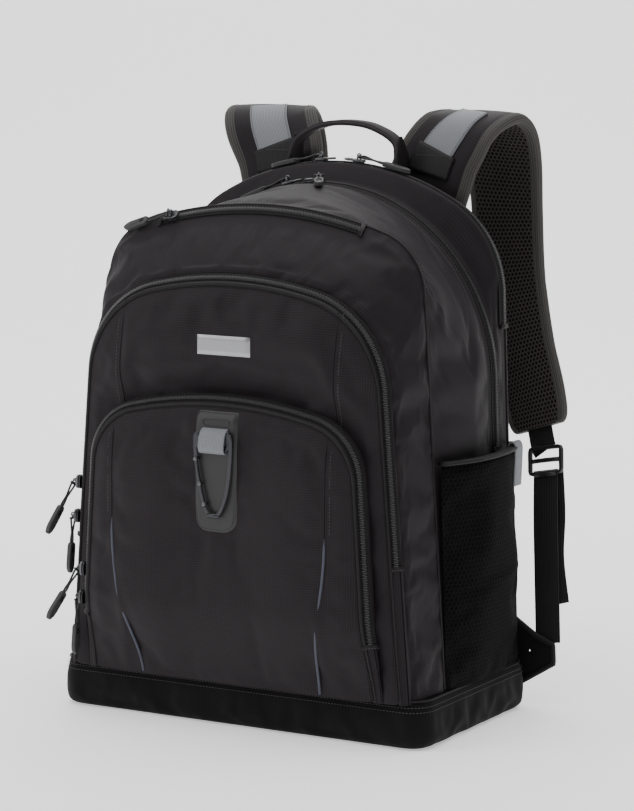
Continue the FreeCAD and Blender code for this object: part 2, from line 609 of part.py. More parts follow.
def make_bottle_pockets():
    clear = ("4 * Dims.sewn_gap", 4 * D["sewn_gap"])
    none = ("0", 0.0)
    wall = ("Dims.bottle_wall", D["bottle_wall"])
    floor = ("Dims.bottle_floor", D["bottle_floor"])
    top = ("Dims.bottle_top", D["bottle_top"])
    pocket = new_body("bottle_pocket_right")
    bow_stack(pocket, "Additive", "pocket_skin", floor, top, clear, none)
    inside = ("Dims.bottle_floor + Dims.bottle_wall", D["bottle_floor"] + D["bottle_wall"])
    bow_stack(pocket, "Subtractive", "pocket_room", inside, top, none, wall)
    mirrored(pocket, "bottle_pocket_left")
    binding = new_body("binding_right")
    start = ("Dims.bottle_top + Dims.sewn_gap", D["bottle_top"] + D["sewn_gap"])
    end = ("Dims.bottle_top + Dims.sewn_gap + Dims.binding_height", start[1] + D["binding_height"])
    bow_stack(binding, "Additive", "binding_skin", start, end, clear, none)
    thick = ("1.5 * Dims.bottle_wall", 1.5 * D["bottle_wall"])
    bow_stack(binding, "Subtractive", "binding_room", start, end, none, thick)
    gather("Compound", "bottle_pocket_bindings", [binding, mirrored(binding, "binding_left")])
    tab = primitive("Box", "tab_right", Placement(Vector(*TAB_CORNER), Rotation(Vector(0, 0, 1), TAB_TURN)),
                    Length="Dims.loop_depth", Width="Dims.handle_width", Height="Dims.tab_height")
    gather("Compound", "pocket_pull_tabs", [tab, mirrored(tab, "tab_left")])


# ---------------------------------------------------------------- zip sliders and their pulls
def make_slider(label, surface, track, normal, reach_angle, ring_side=0):
    """A zip slider over a point of the surface. reach_angle is the way its pull lies, in degrees from
    the track, and the bail's bar stands square to it. ring_side puts the ring of a lockable slider at
    its nose (1) or tail (-1)."""
    body = primitive("Box", f"{label}_block", Placement(
        Vector(-D["slider_length"] / 2, -D["slider_width"] / 2, D["slider_lift"]), Rotation()),
        Length="Dims.slider_length", Width="Dims.slider_width", Height="Dims.slider_rise")
    turn = Rotation(Vector(0, 0, 1), reach_angle + 90)
    post, half = D["bail_post"], D["bail_half"]
    base = D["slider_lift"] + D["slider_rise"] - D["bail_sink"]
    pieces = [body]
    for side, name in ((1, "nose"), (-1, "tail")):
        corner = Vector(side * half - post / 2, -post / 2, base)
        pieces.append(primitive("Box", f"{label}_post_{name}", Placement(turn.multVec(corner), turn),
                                Length="Dims.bail_post", Width="Dims.bail_post",
                                Height="Dims.bail_height + Dims.bail_bar + Dims.bail_sink - Dims.slider_lift"
                                       " - Dims.slider_rise"))
    lie = turn.multiply(Rotation(Vector(0, 1, 0), 90))
    pieces.append(primitive("Cylinder", f"{label}_bar",
                            Placement(turn.multVec(Vector(-half, 0, D["bail_height"])), lie),
                            Radius="Dims.bail_bar", Height="2 * Dims.bail_half"))
    if ring_side:
        centre = ring_side * (D["slider_length"] / 2 + D["lock_ring"] - D["ring_wire"] / 2)
        height = D["slider_lift"] + D["slider_rise"] / 2
        pieces.append(primitive("Torus", f"{label}_ring", Placement(Vector(centre, 0, height), Rotation()),
                                Radius1="Dims.lock_ring", Radius2="Dims.ring_wire"))
    return gather("MultiFuse", label, pieces, frame_placement(surface, track, normal))


def make_pull(label, pivot, reach, normal, lift=0.0):
    """A pull on a bail's bar at pivot: a wire eye, a tee bar, two strands and a grip. It lies along
    reach, turned off the fabric by lift degrees."""
    turn = Rotation(Vector(reach).cross(normal), lift)
    eye = primitive("Torus", f"{label}_eye", Placement(Vector(), Rotation(Vector(1, 0, 0), 90)),
                    Radius1="Dims.eye_ring", Radius2="Dims.eye_wire")
    tee_x = D["eye_ring"] + D["tee_gap"]
    tee = primitive("Box", f"{label}_tee", Placement(
        Vector(tee_x, -D["tee_half"], -D["tee_depth"] / 2), Rotation()),
        Length="Dims.tee_width", Width="2 * Dims.tee_half", Height="Dims.tee_depth")
    pieces = [eye, tee]
    along = Rotation(Vector(0, 1, 0), 90)
    cord_x = tee_x + D["tee_width"] - D["cord_sink"]
    for side, name in ((1, "near"), (-1, "far")):
        pieces.append(primitive("Cylinder", f"{label}_cord_{name}",
                                Placement(Vector(cord_x, side * D["cord_gap"], 0), along),
                                Radius="Dims.cord_radius", Height="Dims.cord_reach + 2 * Dims.cord_sink"))
    grip_x = cord_x + D["cord_reach"]
    pieces.append(primitive("Box", f"{label}_grip", Placement(
        Vector(grip_x, -D["grip_width"] / 2, -D["grip_depth"] / 2), Rotation()),
        Length="Dims.grip_length", Width="Dims.grip_width", Height="Dims.grip_depth"))
    return gather("MultiFuse", label, pieces,
                  frame_placement(pivot, turn.multVec(reach), turn.multVec(normal)))


def crown_point(outline, y, angle):
    """A point on an outline's crown, angle degrees to the right of the top, and its normal."""
    turn = math.radians(angle)
    radius = D[f"{outline}_crown"]
    normal = Vector(math.sin(turn), 0, math.cos(turn))
    return Vector(0, y, D[f"{outline}_top"] - radius) + normal * radius, normal


def side_point(outline, z):
    """A point on the left side of an outline at height z, and its normal."""
    lean = math.radians(D[f"{outline}_lean"])
    return Vector(-side_at(outline, z), D[f"{outline}_y"], z), Vector(-math.cos(lean), 0, math.sin(lean))


# name: (outline, x of the slider at rest, side of its lock ring, degrees from the track to its pull,
# degrees that the pull is lifted off the level of its bail)
CROWN_SLIDERS = {
    "main_slider_right": ("mainzip", -6.0, -1, -60.0, -6.0),
    "main_slider_left": ("mainzip", -37.0, 1, 180.0, -11.0),
    "laptop_slider_right": ("back", 20.0, -1, 0.0, -9.0),
    "laptop_slider_left": ("back", -18.0, 1, 180.0, -9.0),
}
# name: (outline, height of the slider at rest, degrees that its pull hangs forward of the track, degrees
# that its pull is lifted off the fabric)
SIDE_SLIDERS = {
    "upper_slider_top": ("upper_rim", 204.0, 28.0, 11.0),
    "upper_slider_bottom": ("upper_rim", 173.0, 0.0, 0.0),
    "lower_slider_top": ("lower_rim", 130.0, 32.0, 13.0),
    "lower_slider_bottom": ("lower_rim", 104.0, 0.0, 0.0),
}
QUICK_SLIDER_X = -88.0
QUICK_PULL_DROOP = -7.0


def make_sliders():
    lift = D["bail_height"]
    for label, (outline, x, ring_side, reach_angle, droop) in CROWN_SLIDERS.items():
        angle = math.degrees(math.asin(x / D[f"{outline}_crown"]))
        point, normal = crown_point(outline, D[f"{outline}_y"], angle)
        track = Vector(normal.z, 0, -normal.x)
        make_slider(label, point, track, normal, reach_angle, ring_side)
        reach = Rotation(normal, reach_angle).multVec(track)
        make_pull(label.replace("slider", "pull"), point + normal * lift, reach, normal, droop)
    for label, (outline, z, reach_angle, pull_lift) in SIDE_SLIDERS.items():
        point, normal = side_point(outline, z)
        down = Vector(-normal.z, 0, normal.x)
        make_slider(label, point, down, normal, reach_angle)
        reach = Rotation(normal, reach_angle).multVec(down)
        make_pull(label.replace("slider", "pull"), point + normal * lift, reach, normal, pull_lift)
    ends = [crown_point(outline, D[f"{outline}_y"],
                        math.degrees(math.asin(QUICK_SLIDER_X / D[f"{outline}_crown"])))
            for outline in ("quick", "edge")]
    (low, low_normal), (high, _) = ends
    track = Vector(-low_normal.z, 0, low_normal.x)
    normal = (high - low).cross(track).normalize()
    middle = (low + high) * 0.5
    make_slider("quick_slider", middle, track, normal, 0)
    make_pull("quick_pull", middle + normal * lift, track, normal, QUICK_PULL_DROOP)


# ---------------------------------------------------------------- clip, piping and trim
def make_clip_patch():
    body = new_body("clip_patch")
    half = D["patch_width"] / 2
    face = "-Dims.lower_face_y + Dims.sewn_gap"
    plate = rectangle_sketch(body, "patch_face", "XZ_Plane", face,
                             (-half, D["patch_bottom"]), (half, D["patch_top"]),
                             ("-Dims.patch_width / 2", "Dims.patch_bottom", "Dims.patch_width",
                              "Dims.patch_top - Dims.patch_bottom"))
    pad(body, "patch_plate", plate, "Dims.patch_depth")
    web, tunnel_radius = D["clip_web_half"], D["clip_tunnel"]
    slab = primitive("Box", "clip_webbing_block", Placement(
        Vector(-web, D["clip_y"] - tunnel_radius - 1, D["clip_bar"] - tunnel_radius - 1), Rotation()),
        Length="2 * Dims.clip_web_half", Width="2 * Dims.clip_tunnel + 2",
        Height="Dims.clip_hinge - Dims.clip_bar + Dims.clip_tunnel + 1")
    tunnel = primitive("Cylinder", "clip_webbing_tunnel", Placement(
        Vector(-web - 1, D["clip_y"], D["clip_bar"]), Rotation(Vector(0, 1, 0), 90)),
        Radius="Dims.clip_tunnel", Height="2 * Dims.clip_web_half + 2")
    loop = doc.addObject("Part::Cut", "clip_webbing_loop")
    loop.Base, loop.Tool = slab, tunnel
    loop.Label = "clip_webbing_loop"


def polygon_pad(label, points, depth, y_mid, holes=()):
    """A plate in the XZ plane from straight outlines, centred on y_mid."""
    wires = [Part.makePolygon([Vector(x, 0, z) for x, z in ring + [ring[0]]])
             for ring in [list(points)] + [list(hole) for hole in holes]]
    face = Part.Face(wires)
    solid = face.extrude(Vector(0, depth, 0))
    solid.translate(Vector(0, y_mid - depth / 2, 0))
    feature = doc.addObject("Part::Feature", label)
    feature.Shape = solid
    feature.Label = label
    return feature


# Heights of the clip's corners: below its top bar, or above its foot.
CLIP_HIP_DROP = 12.0
CLIP_WAIST_RISE = 22.0
CLIP_WAIST_TAPER = 4.0
CLIP_INNER_STEP = 1.2
GATE_ROOT_DROP = 8.0
GATE_TOP_DROP = 9.2
GATE_SIDE_GAP = 0.3
GATE_THINNER = 0.8
# The frame's nose under the gate and the gate's own tip: (beyond the toe, above the foot).
NOSE_OUTER, NOSE_INNER = (5.0, 9.0), (2.0, 11.5)
TIP_INNER, TIP_OUTER = (1.2, 13.0), (4.8, 10.6)


def make_clip():
    """A shield-shaped clip: a fixed frame open along its left side, and the gate that closes it."""
    top, bar, foot = D["clip_top"], D["clip_bar"], D["clip_foot"]
    half, toe, wire = D["clip_half"], D["clip_toe"], D["clip_wire"]
    hip, waist = bar - CLIP_HIP_DROP, foot + CLIP_WAIST_RISE
    waist_half = half - CLIP_WAIST_TAPER
    inner_toe = toe - CLIP_INNER_STEP
    gate_root = bar - GATE_ROOT_DROP
    frame = [(-half, gate_root), (-half, top), (-half + wire, top), (-half + wire, bar + wire / 2),
             (half - wire, bar + wire / 2), (half - wire, top), (half, top), (half, hip),
             (waist_half, waist), (toe, foot), (-toe, foot), (-toe - NOSE_OUTER[0], foot + NOSE_OUTER[1]),
             (-toe - NOSE_INNER[0], foot + NOSE_INNER[1]), (-inner_toe, foot + wire),
             (inner_toe, foot + wire), (waist_half - wire, waist + 1.0), (half - wire, hip),
             (half - wire, bar - wire / 2), (-half + wire, bar - wire / 2), (-half + wire, gate_root)]
    polygon_pad("clip_frame", frame, D["clip_depth"], D["clip_y"])
    gate_top = bar - GATE_TOP_DROP
    gate = [(-half + GATE_SIDE_GAP, gate_top), (-half + wire - GATE_SIDE_GAP, gate_top),
            (-toe - TIP_INNER[0], foot + TIP_INNER[1]), (-toe - TIP_OUTER[0], foot + TIP_OUTER[1])]
    polygon_pad("clip_gate", gate, D["clip_depth"] - GATE_THINNER, D["clip_y"])


def make_piping():
    """Two lines of piping on the lower pocket, split where its flap folds."""
    foot, fold, top = D["piping_foot"], D["fold_height"], D["piping_top"]
    y = D["lower_face_y"] - D["piping_radius"] - D["sewn_gap"]
    low, high = Vector(D["piping_foot_half"], y, foot), Vector(D["piping_top_half"], y, top)
    direction = (high - low).normalize()
    spans = {"piping_lower": (foot, fold - D["piping_split_below"]),
             "piping_upper": (fold + D["piping_split_above"], top)}
    for label, (start, end) in spans.items():
        origin = low + direction * ((start - foot) / direction.z)
        turn = Rotation(Vector(0, 0, 1), direction)
        line = primitive("Cylinder", f"{label}_right", Placement(origin, turn), Radius="Dims.piping_radius",
                         Height=str((end - start) / direction.z))
        gather("Compound", label, [line, mirrored(line, f"{label}_left")])


# ---------------------------------------------------------------- haul handle and shoulder straps
def section(centre, tangent, across, width, depth, lift=0.0, square=False):
    """A rectangular section of a flat strip; lift moves it off the strip's middle, and a square
    section stands square to the tangent instead of keeping its width level."""
    along = Vector(tangent).normalize()
    if square:
        across = (across - along * across.dot(along)).normalize()
    face = along.cross(across).normalize()
    middle = centre + face * lift
    corners = [middle + across * (width * i / 2) + face * (depth * j / 2)
               for i, j in ((-1, -1), (1, -1), (1, 1), (-1, 1))]
    return Part.makePolygon(corners + [corners[0]])


def strip_solid(stations, depth, lift=0.0, first_normal=None):
    """A strip lofted through stations (centre, width, across), as one solid with flat facets."""
    wires = []
    for index, (centre, width, across) in enumerate(stations):
        before = stations[max(index - 1, 0)][0]
        after = stations[min(index + 1, len(stations) - 1)][0]
        tangent = after - before
        if index == 0 and first_normal is not None:
            tangent = first_normal
        square = index == 0 and first_normal is not None
        wires.append(section(centre, tangent, across, width, depth, lift, square))
    return Part.makeLoft(wires, True, True)


def coded(label, shapes):
    """A sub-part whose shape is worked out in code."""
    feature = doc.addObject("Part::Feature", label)
    feature.Shape = shapes[0] if len(shapes) == 1 else Part.makeCompound(shapes)
    feature.Label = label
    return feature


def flip(shape):
    return shape.mirror(Vector(), Vector(1, 0, 0))


ARC_STEPS = 6
ANCHOR_DROP = 6.5
ANCHOR_HEIGHT = 4.0


def make_handle():
    y, half, depth = D["handle_y"], D["handle_half"], D["handle_depth"]
    across = Vector(0, 1, 0)
    hinge, kink, top = D["handle_hinge"], D["handle_kink"], D["handle_top"]
    rise = top - kink
    radius = (half ** 2 + rise ** 2) / (2 * rise)
    sweep = math.asin(half / radius)
    angles = [sweep * step / ARC_STEPS for step in range(-ARC_STEPS, ARC_STEPS + 1)]
    arc = [Vector(radius * math.sin(angle), y, top - radius + radius * math.cos(angle)) for angle in angles]
    points = [Vector(-half - 1, y, hinge)] + arc + [Vector(half + 1, y, hinge)]
    coded("haul_handle", [strip_solid([(p, D["handle_width"], across) for p in points], depth)])
    anchors = []
    for side in (1, -1):
        base = Vector(side * (half + 1), y, hinge - ANCHOR_DROP)
        head = base + Vector(0, 0, ANCHOR_HEIGHT)
        anchors.append(strip_solid([(end, D["handle_width"] + 1, across) for end in (base, head)], depth))
    coded("handle_anchors", anchors)


# A shoulder strap's middle line: (x, y, z, width, how far its outer edge turns forward, degrees).
STRAP_LINE = [
    (84.0, 112.0, 490.0, 86.0, 3.0),
    (98.0, 122.0, 512.0, 87.0, 8.0),
    (108.0, 137.0, 522.0, 87.0, 11.0),
    (112.0, 152.0, 522.0, 86.0, 11.0),
    (114.0, 168.0, 509.0, 84.0, 9.0),
    (114.0, 180.0, 482.0, 80.0, 7.0),
    (114.0, 187.0, 432.0, 75.0, 5.0),
    (120.0, 186.0, 372.0, 70.0, 5.0),
    (135.0, 177.0, 315.0, 67.0, 5.0),
    (152.0, 168.0, 272.0, 64.0, 5.0),
    (162.0, 161.0, 242.0, 60.0, 5.0),
]
STRAP_ROOT = (70.0, 104.5, 448.0)
# The strap swings about the line from its upper anchor to its wing.
SWING_TOP = Vector(70.0, 100.0, 455.0)
SWING_FOOT = Vector(198.0, 104.0, 60.0)
SWING_GAP = 0.8
LOCK_AT = Vector(172.0, 153.0, 214.0)
WING_AT = Vector(198.0, 107.0, 70.0)
LOWER_TURN = 5
LOOP_GAP = 0.3
LOCK_GAP = 0.6
TAB_START = 0.12
# The webbing's loose tail: behind the run, its start above the lock's foot, aside, length and spread.
TAIL_BEHIND, TAIL_START, TAIL_ASIDE, TAIL_LENGTH, TAIL_SPREAD = 6.0, 4.0, 3.0, 122.0, 4.0
# The wing that holds the webbing's lower end: (x, z) corners and its gap to the boot.
WING_OUTLINE = [(164.0, 14.0), (164.0, 80.0), (190.0, 62.0), (206.0, 56.0), (208.0, 42.0)]
WING_GAP = 0.4


def turned(degrees):
    angle = math.radians(degrees)
    return Vector(math.cos(angle), -math.sin(angle), 0)


def make_straps():
    swing = (SWING_TOP - SWING_FOOT).normalize()
    stations = [(Vector(x, y, z), width, turned(lean)) for x, y, z, width, lean in STRAP_LINE]
    depth = D["strap_depth"]
    pad_solid = strip_solid(stations, depth, first_normal=swing)
    first = stations[0]
    lower = (first[0] - swing * SWING_GAP, first[1], first[2])
    root = (Vector(*STRAP_ROOT), first[1], turned(0))
    wires = [section(lower[0], swing, lower[2], lower[1], depth, square=True),
             section(root[0], lower[0] - root[0], root[2], root[1], depth)]
    yoke = Part.makeLoft(wires, True, True)
    coded("strap_yokes", [yoke, flip(yoke)])
    loop_lift = -(depth / 2 + D["loop_depth"] / 2 + LOOP_GAP)
    loop = strip_solid([(c, D["loop_width"], a) for c, _, a in stations[:3]], D["loop_depth"], loop_lift,
                       first_normal=swing)
    down = (WING_AT - LOCK_AT).normalize()
    across = turned(LOWER_TURN)
    across = (across - down * across.dot(down)).normalize()
    strips = webbing_strips(stations[-1][0], down, across)
    for side, mirror in (("right", Part.Shape.copy), ("left", flip)):
        coded(f"shoulder_strap_{side}", [mirror(pad_solid)])
        coded(f"gear_loop_{side}", [mirror(loop)])
        coded(f"strap_webbing_{side}", [mirror(strip) for strip in strips])
    make_ladder_locks(LOCK_AT, across, down)
    outline = [Vector(x, 0, z) for x, z in WING_OUTLINE + WING_OUTLINE[:1]]
    wing = Part.Face(Part.makePolygon(outline)).extrude(Vector(0, D["wing_depth"], 0))
    wing.translate(Vector(0, D["boot_back"] + WING_GAP, 0))
    coded("strap_wings", [wing, flip(wing)])


def webbing_strips(strap_end, down, across):
    """The tab from the strap to the ladder lock, the run down to the wing, and the loose tail."""
    width, thick = D["webbing_width"], D["webbing_depth"]
    lock_half = D["lock_height"] / 2
    edge = down * (lock_half + LOCK_GAP)
    tab_ends = [strap_end + (LOCK_AT - strap_end) * TAB_START, LOCK_AT - edge]
    tab = Part.makeLoft([section(end, down, across, width, thick) for end in tab_ends], True, True)
    run = strip_solid([(LOCK_AT + edge, width, across), (WING_AT, width, across)], thick)
    behind = down.cross(across) * TAIL_BEHIND
    start = LOCK_AT + down * (lock_half - TAIL_START) + behind + across * TAIL_ASIDE
    end = start + down * TAIL_LENGTH + across * TAIL_SPREAD
    tail = strip_solid([(start, width, across), (end, width, across)], thick)
    return [tab, run, tail]


def make_ladder_locks(centre, across, down):
    width, height, bar = D["lock_width"], D["lock_height"], D["lock_bar"]
    body = new_body("ladder_lock_right")
    plate = rectangle_sketch(body, "lock_plan", "XY_Plane", "0", (-width / 2, -height / 2),
                             (width / 2, height / 2), ("-Dims.lock_width / 2", "-Dims.lock_height / 2",
                                                       "Dims.lock_width", "Dims.lock_height"))
    pad(body, "lock_plate", plate, "Dims.lock_depth", midplane=True)
    slot = (height - 3 * bar) / 2
    slot_text = "(Dims.lock_height - 3 * Dims.lock_bar) / 2"
    for name, low, low_text in (("upper", bar / 2, "Dims.lock_bar / 2"),
                                ("lower", -bar / 2 - slot, f"-Dims.lock_bar / 2 - {slot_text}")):
        hole = rectangle_sketch(body, f"lock_{name}_slot", "XY_Plane", "0", (-width / 2 + bar, low),
                                (width / 2 - bar, low + slot), ("-Dims.lock_width / 2 + Dims.lock_bar",
                                                                low_text,
                                                                "Dims.lock_width - 2 * Dims.lock_bar",
                                                                slot_text))
        cut_both_ways(body, f"lock_{name}", hole, "4 * Dims.lock_depth")
    body.Placement = Placement(centre, Rotation(across, down * -1, across.cross(down * -1), "XYZ"))
    mirrored(body, "ladder_lock_left")


# ---------------------------------------------------------------- export
NODES = [
    "base_boot", "base_board", "back_panel_pad", "frame_sheet", "laptop_compartment_shell",
    "laptop_divider", "main_compartment_shell", "organizer_divider", "front_panel",
    "upper_pocket_shell", "name_badge", "lower_pocket_shell", "lower_pocket_flap",
    "bottle_pocket_right", "bottle_pocket_left", "bottle_pocket_bindings", "pocket_pull_tabs",
    "main_zip", "laptop_zip", "quick_access_zip", "upper_pocket_zip", "lower_pocket_zip",
    "lower_pocket_zip_inner", "piping_upper", "piping_lower", "clip_patch", "clip_webbing_loop",
    "clip_frame", "clip_gate", "handle_anchors", "haul_handle", "strap_yokes", "strap_wings",
]
SIDED = ["shoulder_strap", "gear_loop", "ladder_lock", "strap_webbing"]


def check_document():
    faults = [obj.Name for obj in doc.Objects if {"Invalid", "Error"} & set(obj.State)]
    if faults:
        raise RuntimeError(f"features that failed: {faults}")


def export_nodes():
    """Writes one STEP file per node, each checked to be a valid shape made of closed solids."""
    names = list(NODES) + [f"{stem}_{side}" for stem in SIDED for side in ("right", "left")]
    for slider in [*CROWN_SLIDERS, *SIDE_SLIDERS, "quick_slider"]:
        names += [slider, slider.replace("slider", "pull")]
    os.makedirs("parts", exist_ok=True)
    for name in names:
        shape = doc.getObjectsByLabel(name)[0].Shape
        if shape.isNull() or not shape.isValid() or not shape.Solids:
            raise RuntimeError(f"{name} has no valid shape")
        shape.exportStep(f"parts/{name}.step")
    print(f"{len(names)} nodes written")


def main():
    make_compartments()
    make_upper_pocket()
    make_lower_pocket()
    make_zips()
    make_quick_zip()
    make_base()
    make_bottle_pockets()
    make_sliders()
    make_clip_patch()
    make_clip()
    make_piping()
    make_handle()
    make_straps()
    doc.recompute()
    check_document()
    export_nodes()


main()
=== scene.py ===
import math

import bmesh
import bpy
from mathutils import Matrix, Vector, noise


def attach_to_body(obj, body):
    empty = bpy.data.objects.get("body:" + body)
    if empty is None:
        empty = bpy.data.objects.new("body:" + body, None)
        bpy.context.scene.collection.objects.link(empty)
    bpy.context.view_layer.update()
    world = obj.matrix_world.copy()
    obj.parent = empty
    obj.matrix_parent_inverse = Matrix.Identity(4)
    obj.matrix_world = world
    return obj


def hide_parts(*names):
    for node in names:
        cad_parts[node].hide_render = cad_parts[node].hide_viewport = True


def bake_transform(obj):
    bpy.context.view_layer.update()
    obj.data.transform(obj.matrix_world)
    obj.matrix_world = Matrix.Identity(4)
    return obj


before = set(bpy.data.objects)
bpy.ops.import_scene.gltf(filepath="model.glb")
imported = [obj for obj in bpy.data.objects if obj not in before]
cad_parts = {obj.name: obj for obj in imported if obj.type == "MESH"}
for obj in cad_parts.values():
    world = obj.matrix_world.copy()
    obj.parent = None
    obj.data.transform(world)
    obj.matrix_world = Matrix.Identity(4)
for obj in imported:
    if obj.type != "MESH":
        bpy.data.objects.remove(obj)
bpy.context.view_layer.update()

MM = 0.001
UP = Vector((0, 0, 1))
FRONT = Vector((0, -1, 0))

# ---------------------------------------------------------------- driving dimensions
# Arch outlines of the bag, millimetres: depth, top, half width at the floor, lean of the sides in
# degrees, crown radius, shoulder radius, lowest point.
OUTLINES = {
    "back": (76.0, 482.0, 177.0, 1.9, 240.0, 92.0, 6.0),
    "pad": (90.5, 478.0, 172.0, 1.9, 236.0, 88.0, 46.0),
    "mainzip": (50.0, 465.0, 181.0, 1.95, 173.0, 168.0, 6.0),
    "mid": (4.0, 462.0, 182.0, 1.95, 173.0, 163.0, 6.0),
    "edge": (-58.0, 454.0, 183.0, 3.6, 385.0, 55.0, 6.0),
    "quick": (-66.0, 445.5, 182.0, 3.7, 376.0, 56.0, 6.0),
    "front": (-100.0, 405.0, 179.0, 4.2, 352.0, 88.0, 6.0),
    "upper_rim": (-105.5, 397.0, 175.0, 4.5, 350.0, 90.0, 44.0),
    "upper_face": (-117.0, 383.0, 163.0, 4.5, 338.0, 80.0, 44.0),
    "lower_rim": (-123.5, 295.0, 152.0, 3.7, 400.0, 57.0, 44.0),
    "lower_face": (-136.0, 280.0, 138.0, 3.7, 388.0, 46.0, 44.0),
}
BOOT_TOP = 42 * MM
BOOT_HALF = 186 * MM
BOOT_FRONT = -108 * MM
BOOT_BACK = 97 * MM
BOOT_CORNER = 22 * MM
FOLD_HEIGHT = 92 * MM
PANEL_SEAM_X = 107 * MM
TAPE_HALF = 4.6 * MM
UPPER_ZIP_FOOT = 158 * MM
MAIN_ZIP_FOOT = 240 * MM
LAPTOP_ZIP_FOOT = 345 * MM
PIPING_TOP = 183 * MM
STITCH_FOOT = 245 * MM
# Points down a side, round a shoulder and along half a crown.
SAMPLES = (74, 30, 46)
CROWN_ZIP_LIFT = 1.1 * MM
COIL_PITCH = 1.5 * MM
COIL_SHIFT = 0.3 * MM


class Arch:
    """A three-centre arch: leaning sides, shoulder arcs and a crown arc, in metres."""

    def __init__(self, name, grow=0.0):
        y, top, half, lean, crown, shoulder, floor = OUTLINES[name]
        self.y = y * MM
        self.lean = math.radians(lean)
        self.top = top * MM + grow
        self.half = half * MM + grow / math.cos(self.lean)
        self.crown = crown * MM + grow
        self.shoulder = shoulder * MM + grow
        self.floor = floor * MM
        self.crown_z = self.top - self.crown
        tangent = math.tan(self.lean)
        reach = self.half - self.shoulder / math.cos(self.lean)
        a = 1 + tangent ** 2
        b = -2 * (reach * tangent + self.crown_z)
        c = reach ** 2 + self.crown_z ** 2 - (self.crown - self.shoulder) ** 2
        self.shoulder_z = (-b + math.sqrt(b * b - 4 * a * c)) / (2 * a)
        self.shoulder_x = reach - self.shoulder_z * tangent
        self.join = math.atan2(self.shoulder_x, self.shoulder_z - self.crown_z)

    def side(self, z):
        return self.half - z * math.tan(self.lean)

    def half_path(self, foot):
        """(x, z, normal x, normal z) from the top of the crown down the right side to foot."""
        side_count, shoulder_count, crown_count = SAMPLES
        rows = []
        for step in range(crown_count):
            angle = self.join * step / crown_count
            rows.append((self.crown * math.sin(angle), self.crown_z + self.crown * math.cos(angle),
                         math.sin(angle), math.cos(angle)))
        flat = math.pi / 2 - self.lean
        for step in range(shoulder_count):
            angle = self.join + (flat - self.join) * step / shoulder_count
            rows.append((self.shoulder_x + self.shoulder * math.sin(angle),
                         self.shoulder_z + self.shoulder * math.cos(angle),
                         math.sin(angle), math.cos(angle)))
        start = self.shoulder_z + self.shoulder * math.sin(self.lean)
        for step in range(side_count + 1):
            z = start + (foot - start) * step / side_count
            rows.append((self.side(z), z, math.cos(self.lean), math.sin(self.lean)))
        return rows

    def rail(self, y=None, lift=0.0, foot=None):
        """(point, normal) pairs from the left foot over the top to the right foot."""
        y = self.y if y is None else y
        half = self.half_path(self.floor if foot is None else foot)
        right = [(Vector((x, y, z)), Vector((nx, 0, nz))) for x, z, nx, nz in half]
        left = [(Vector((-p.x, y, p.z)), Vector((-n.x, 0, n.z))) for p, n in reversed(right[1:])]
        return [(p + n * lift, n) for p, n in left + right]

    def depth(self, x, z):
        """How far a point is inside the arch; its foot doesn't count."""
        x = abs(x)
        angle = math.atan2(x, z - self.crown_z)
        if angle <= self.join and z > self.crown_z:
            return self.crown - math.hypot(x, z - self.crown_z)
        if math.atan2(x - self.shoulder_x, z - self.shoulder_z) < math.pi / 2 - self.lean:
            if z > self.shoulder_z and x > self.shoulder_x:
                return self.shoulder - math.hypot(x - self.shoulder_x, z - self.shoulder_z)
        return (self.side(z) - x) * math.cos(self.lean)


def smooth(t):
    t = min(max(t, 0.0), 1.0)
    return t * t * (3 - 2 * t)


def mix(a, b, t):
    return a + (b - a) * t


def drawn_in(point):
    """A point of the front pockets, drawn back over the boot near the pockets' foot."""
    share = smooth((118 * MM - point.z) / (84 * MM))
    held_back = -109.5 * MM + 0.12 * (point.y + 100 * MM)
    return Vector((point.x, mix(point.y, max(point.y, held_back), share), point.z))


def flipped(point, side):
    """A point or direction of the right-hand side, moved to the side given as 1 or -1."""
    return Vector((point.x * side, point.y, point.z))


def side_name(side):
    return "right" if side > 0 else "left"


def spline(before, a, b, after, t):
    """A point between a and b on the smooth curve through four points."""
    return 0.5 * ((2 * a) + (b - before) * t + (2 * before - 5 * a + 4 * b - after) * t ** 2
                  + (3 * a - before - 3 * b + after) * t ** 3)


# ---------------------------------------------------------------- mesh helpers
def mesh_piece(name, points, faces, materials, uvs=None, face_slots=None, smooth_faces=True):
    """An object from points and faces; uvs are per point, in metres."""
    data = bpy.data.meshes.new(name)
    data.from_pydata([tuple(p) for p in points], [], faces)
    if uvs:
        layer = data.uv_layers.new(name="UVMap")
        for loop in data.loops:
            layer.data[loop.index].uv = uvs[loop.vertex_index]
    for material in materials if isinstance(materials, (list, tuple)) else [materials]:
        data.materials.append(material)
    for index, polygon in enumerate(data.polygons):
        polygon.use_smooth = smooth_faces
        if face_slots:
            polygon.material_index = face_slots[index]
    data.update()
    piece = bpy.data.objects.new(name, data)
    bpy.context.scene.collection.objects.link(piece)
    return piece


def settle(piece, body, slot, *nodes):
    """A finished piece rides its body and stands for CAD nodes; its slot is not used."""
    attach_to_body(piece, body)
    return declare(piece, slot, *nodes)


def declare(piece, slot, *nodes):
    if nodes:
        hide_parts(*nodes)
    return piece


def grid_faces(rows, columns):
    return [(r * columns + c, r * columns + c + 1, (r + 1) * columns + c + 1, (r + 1) * columns + c)
            for r in range(rows - 1) for c in range(columns - 1)]


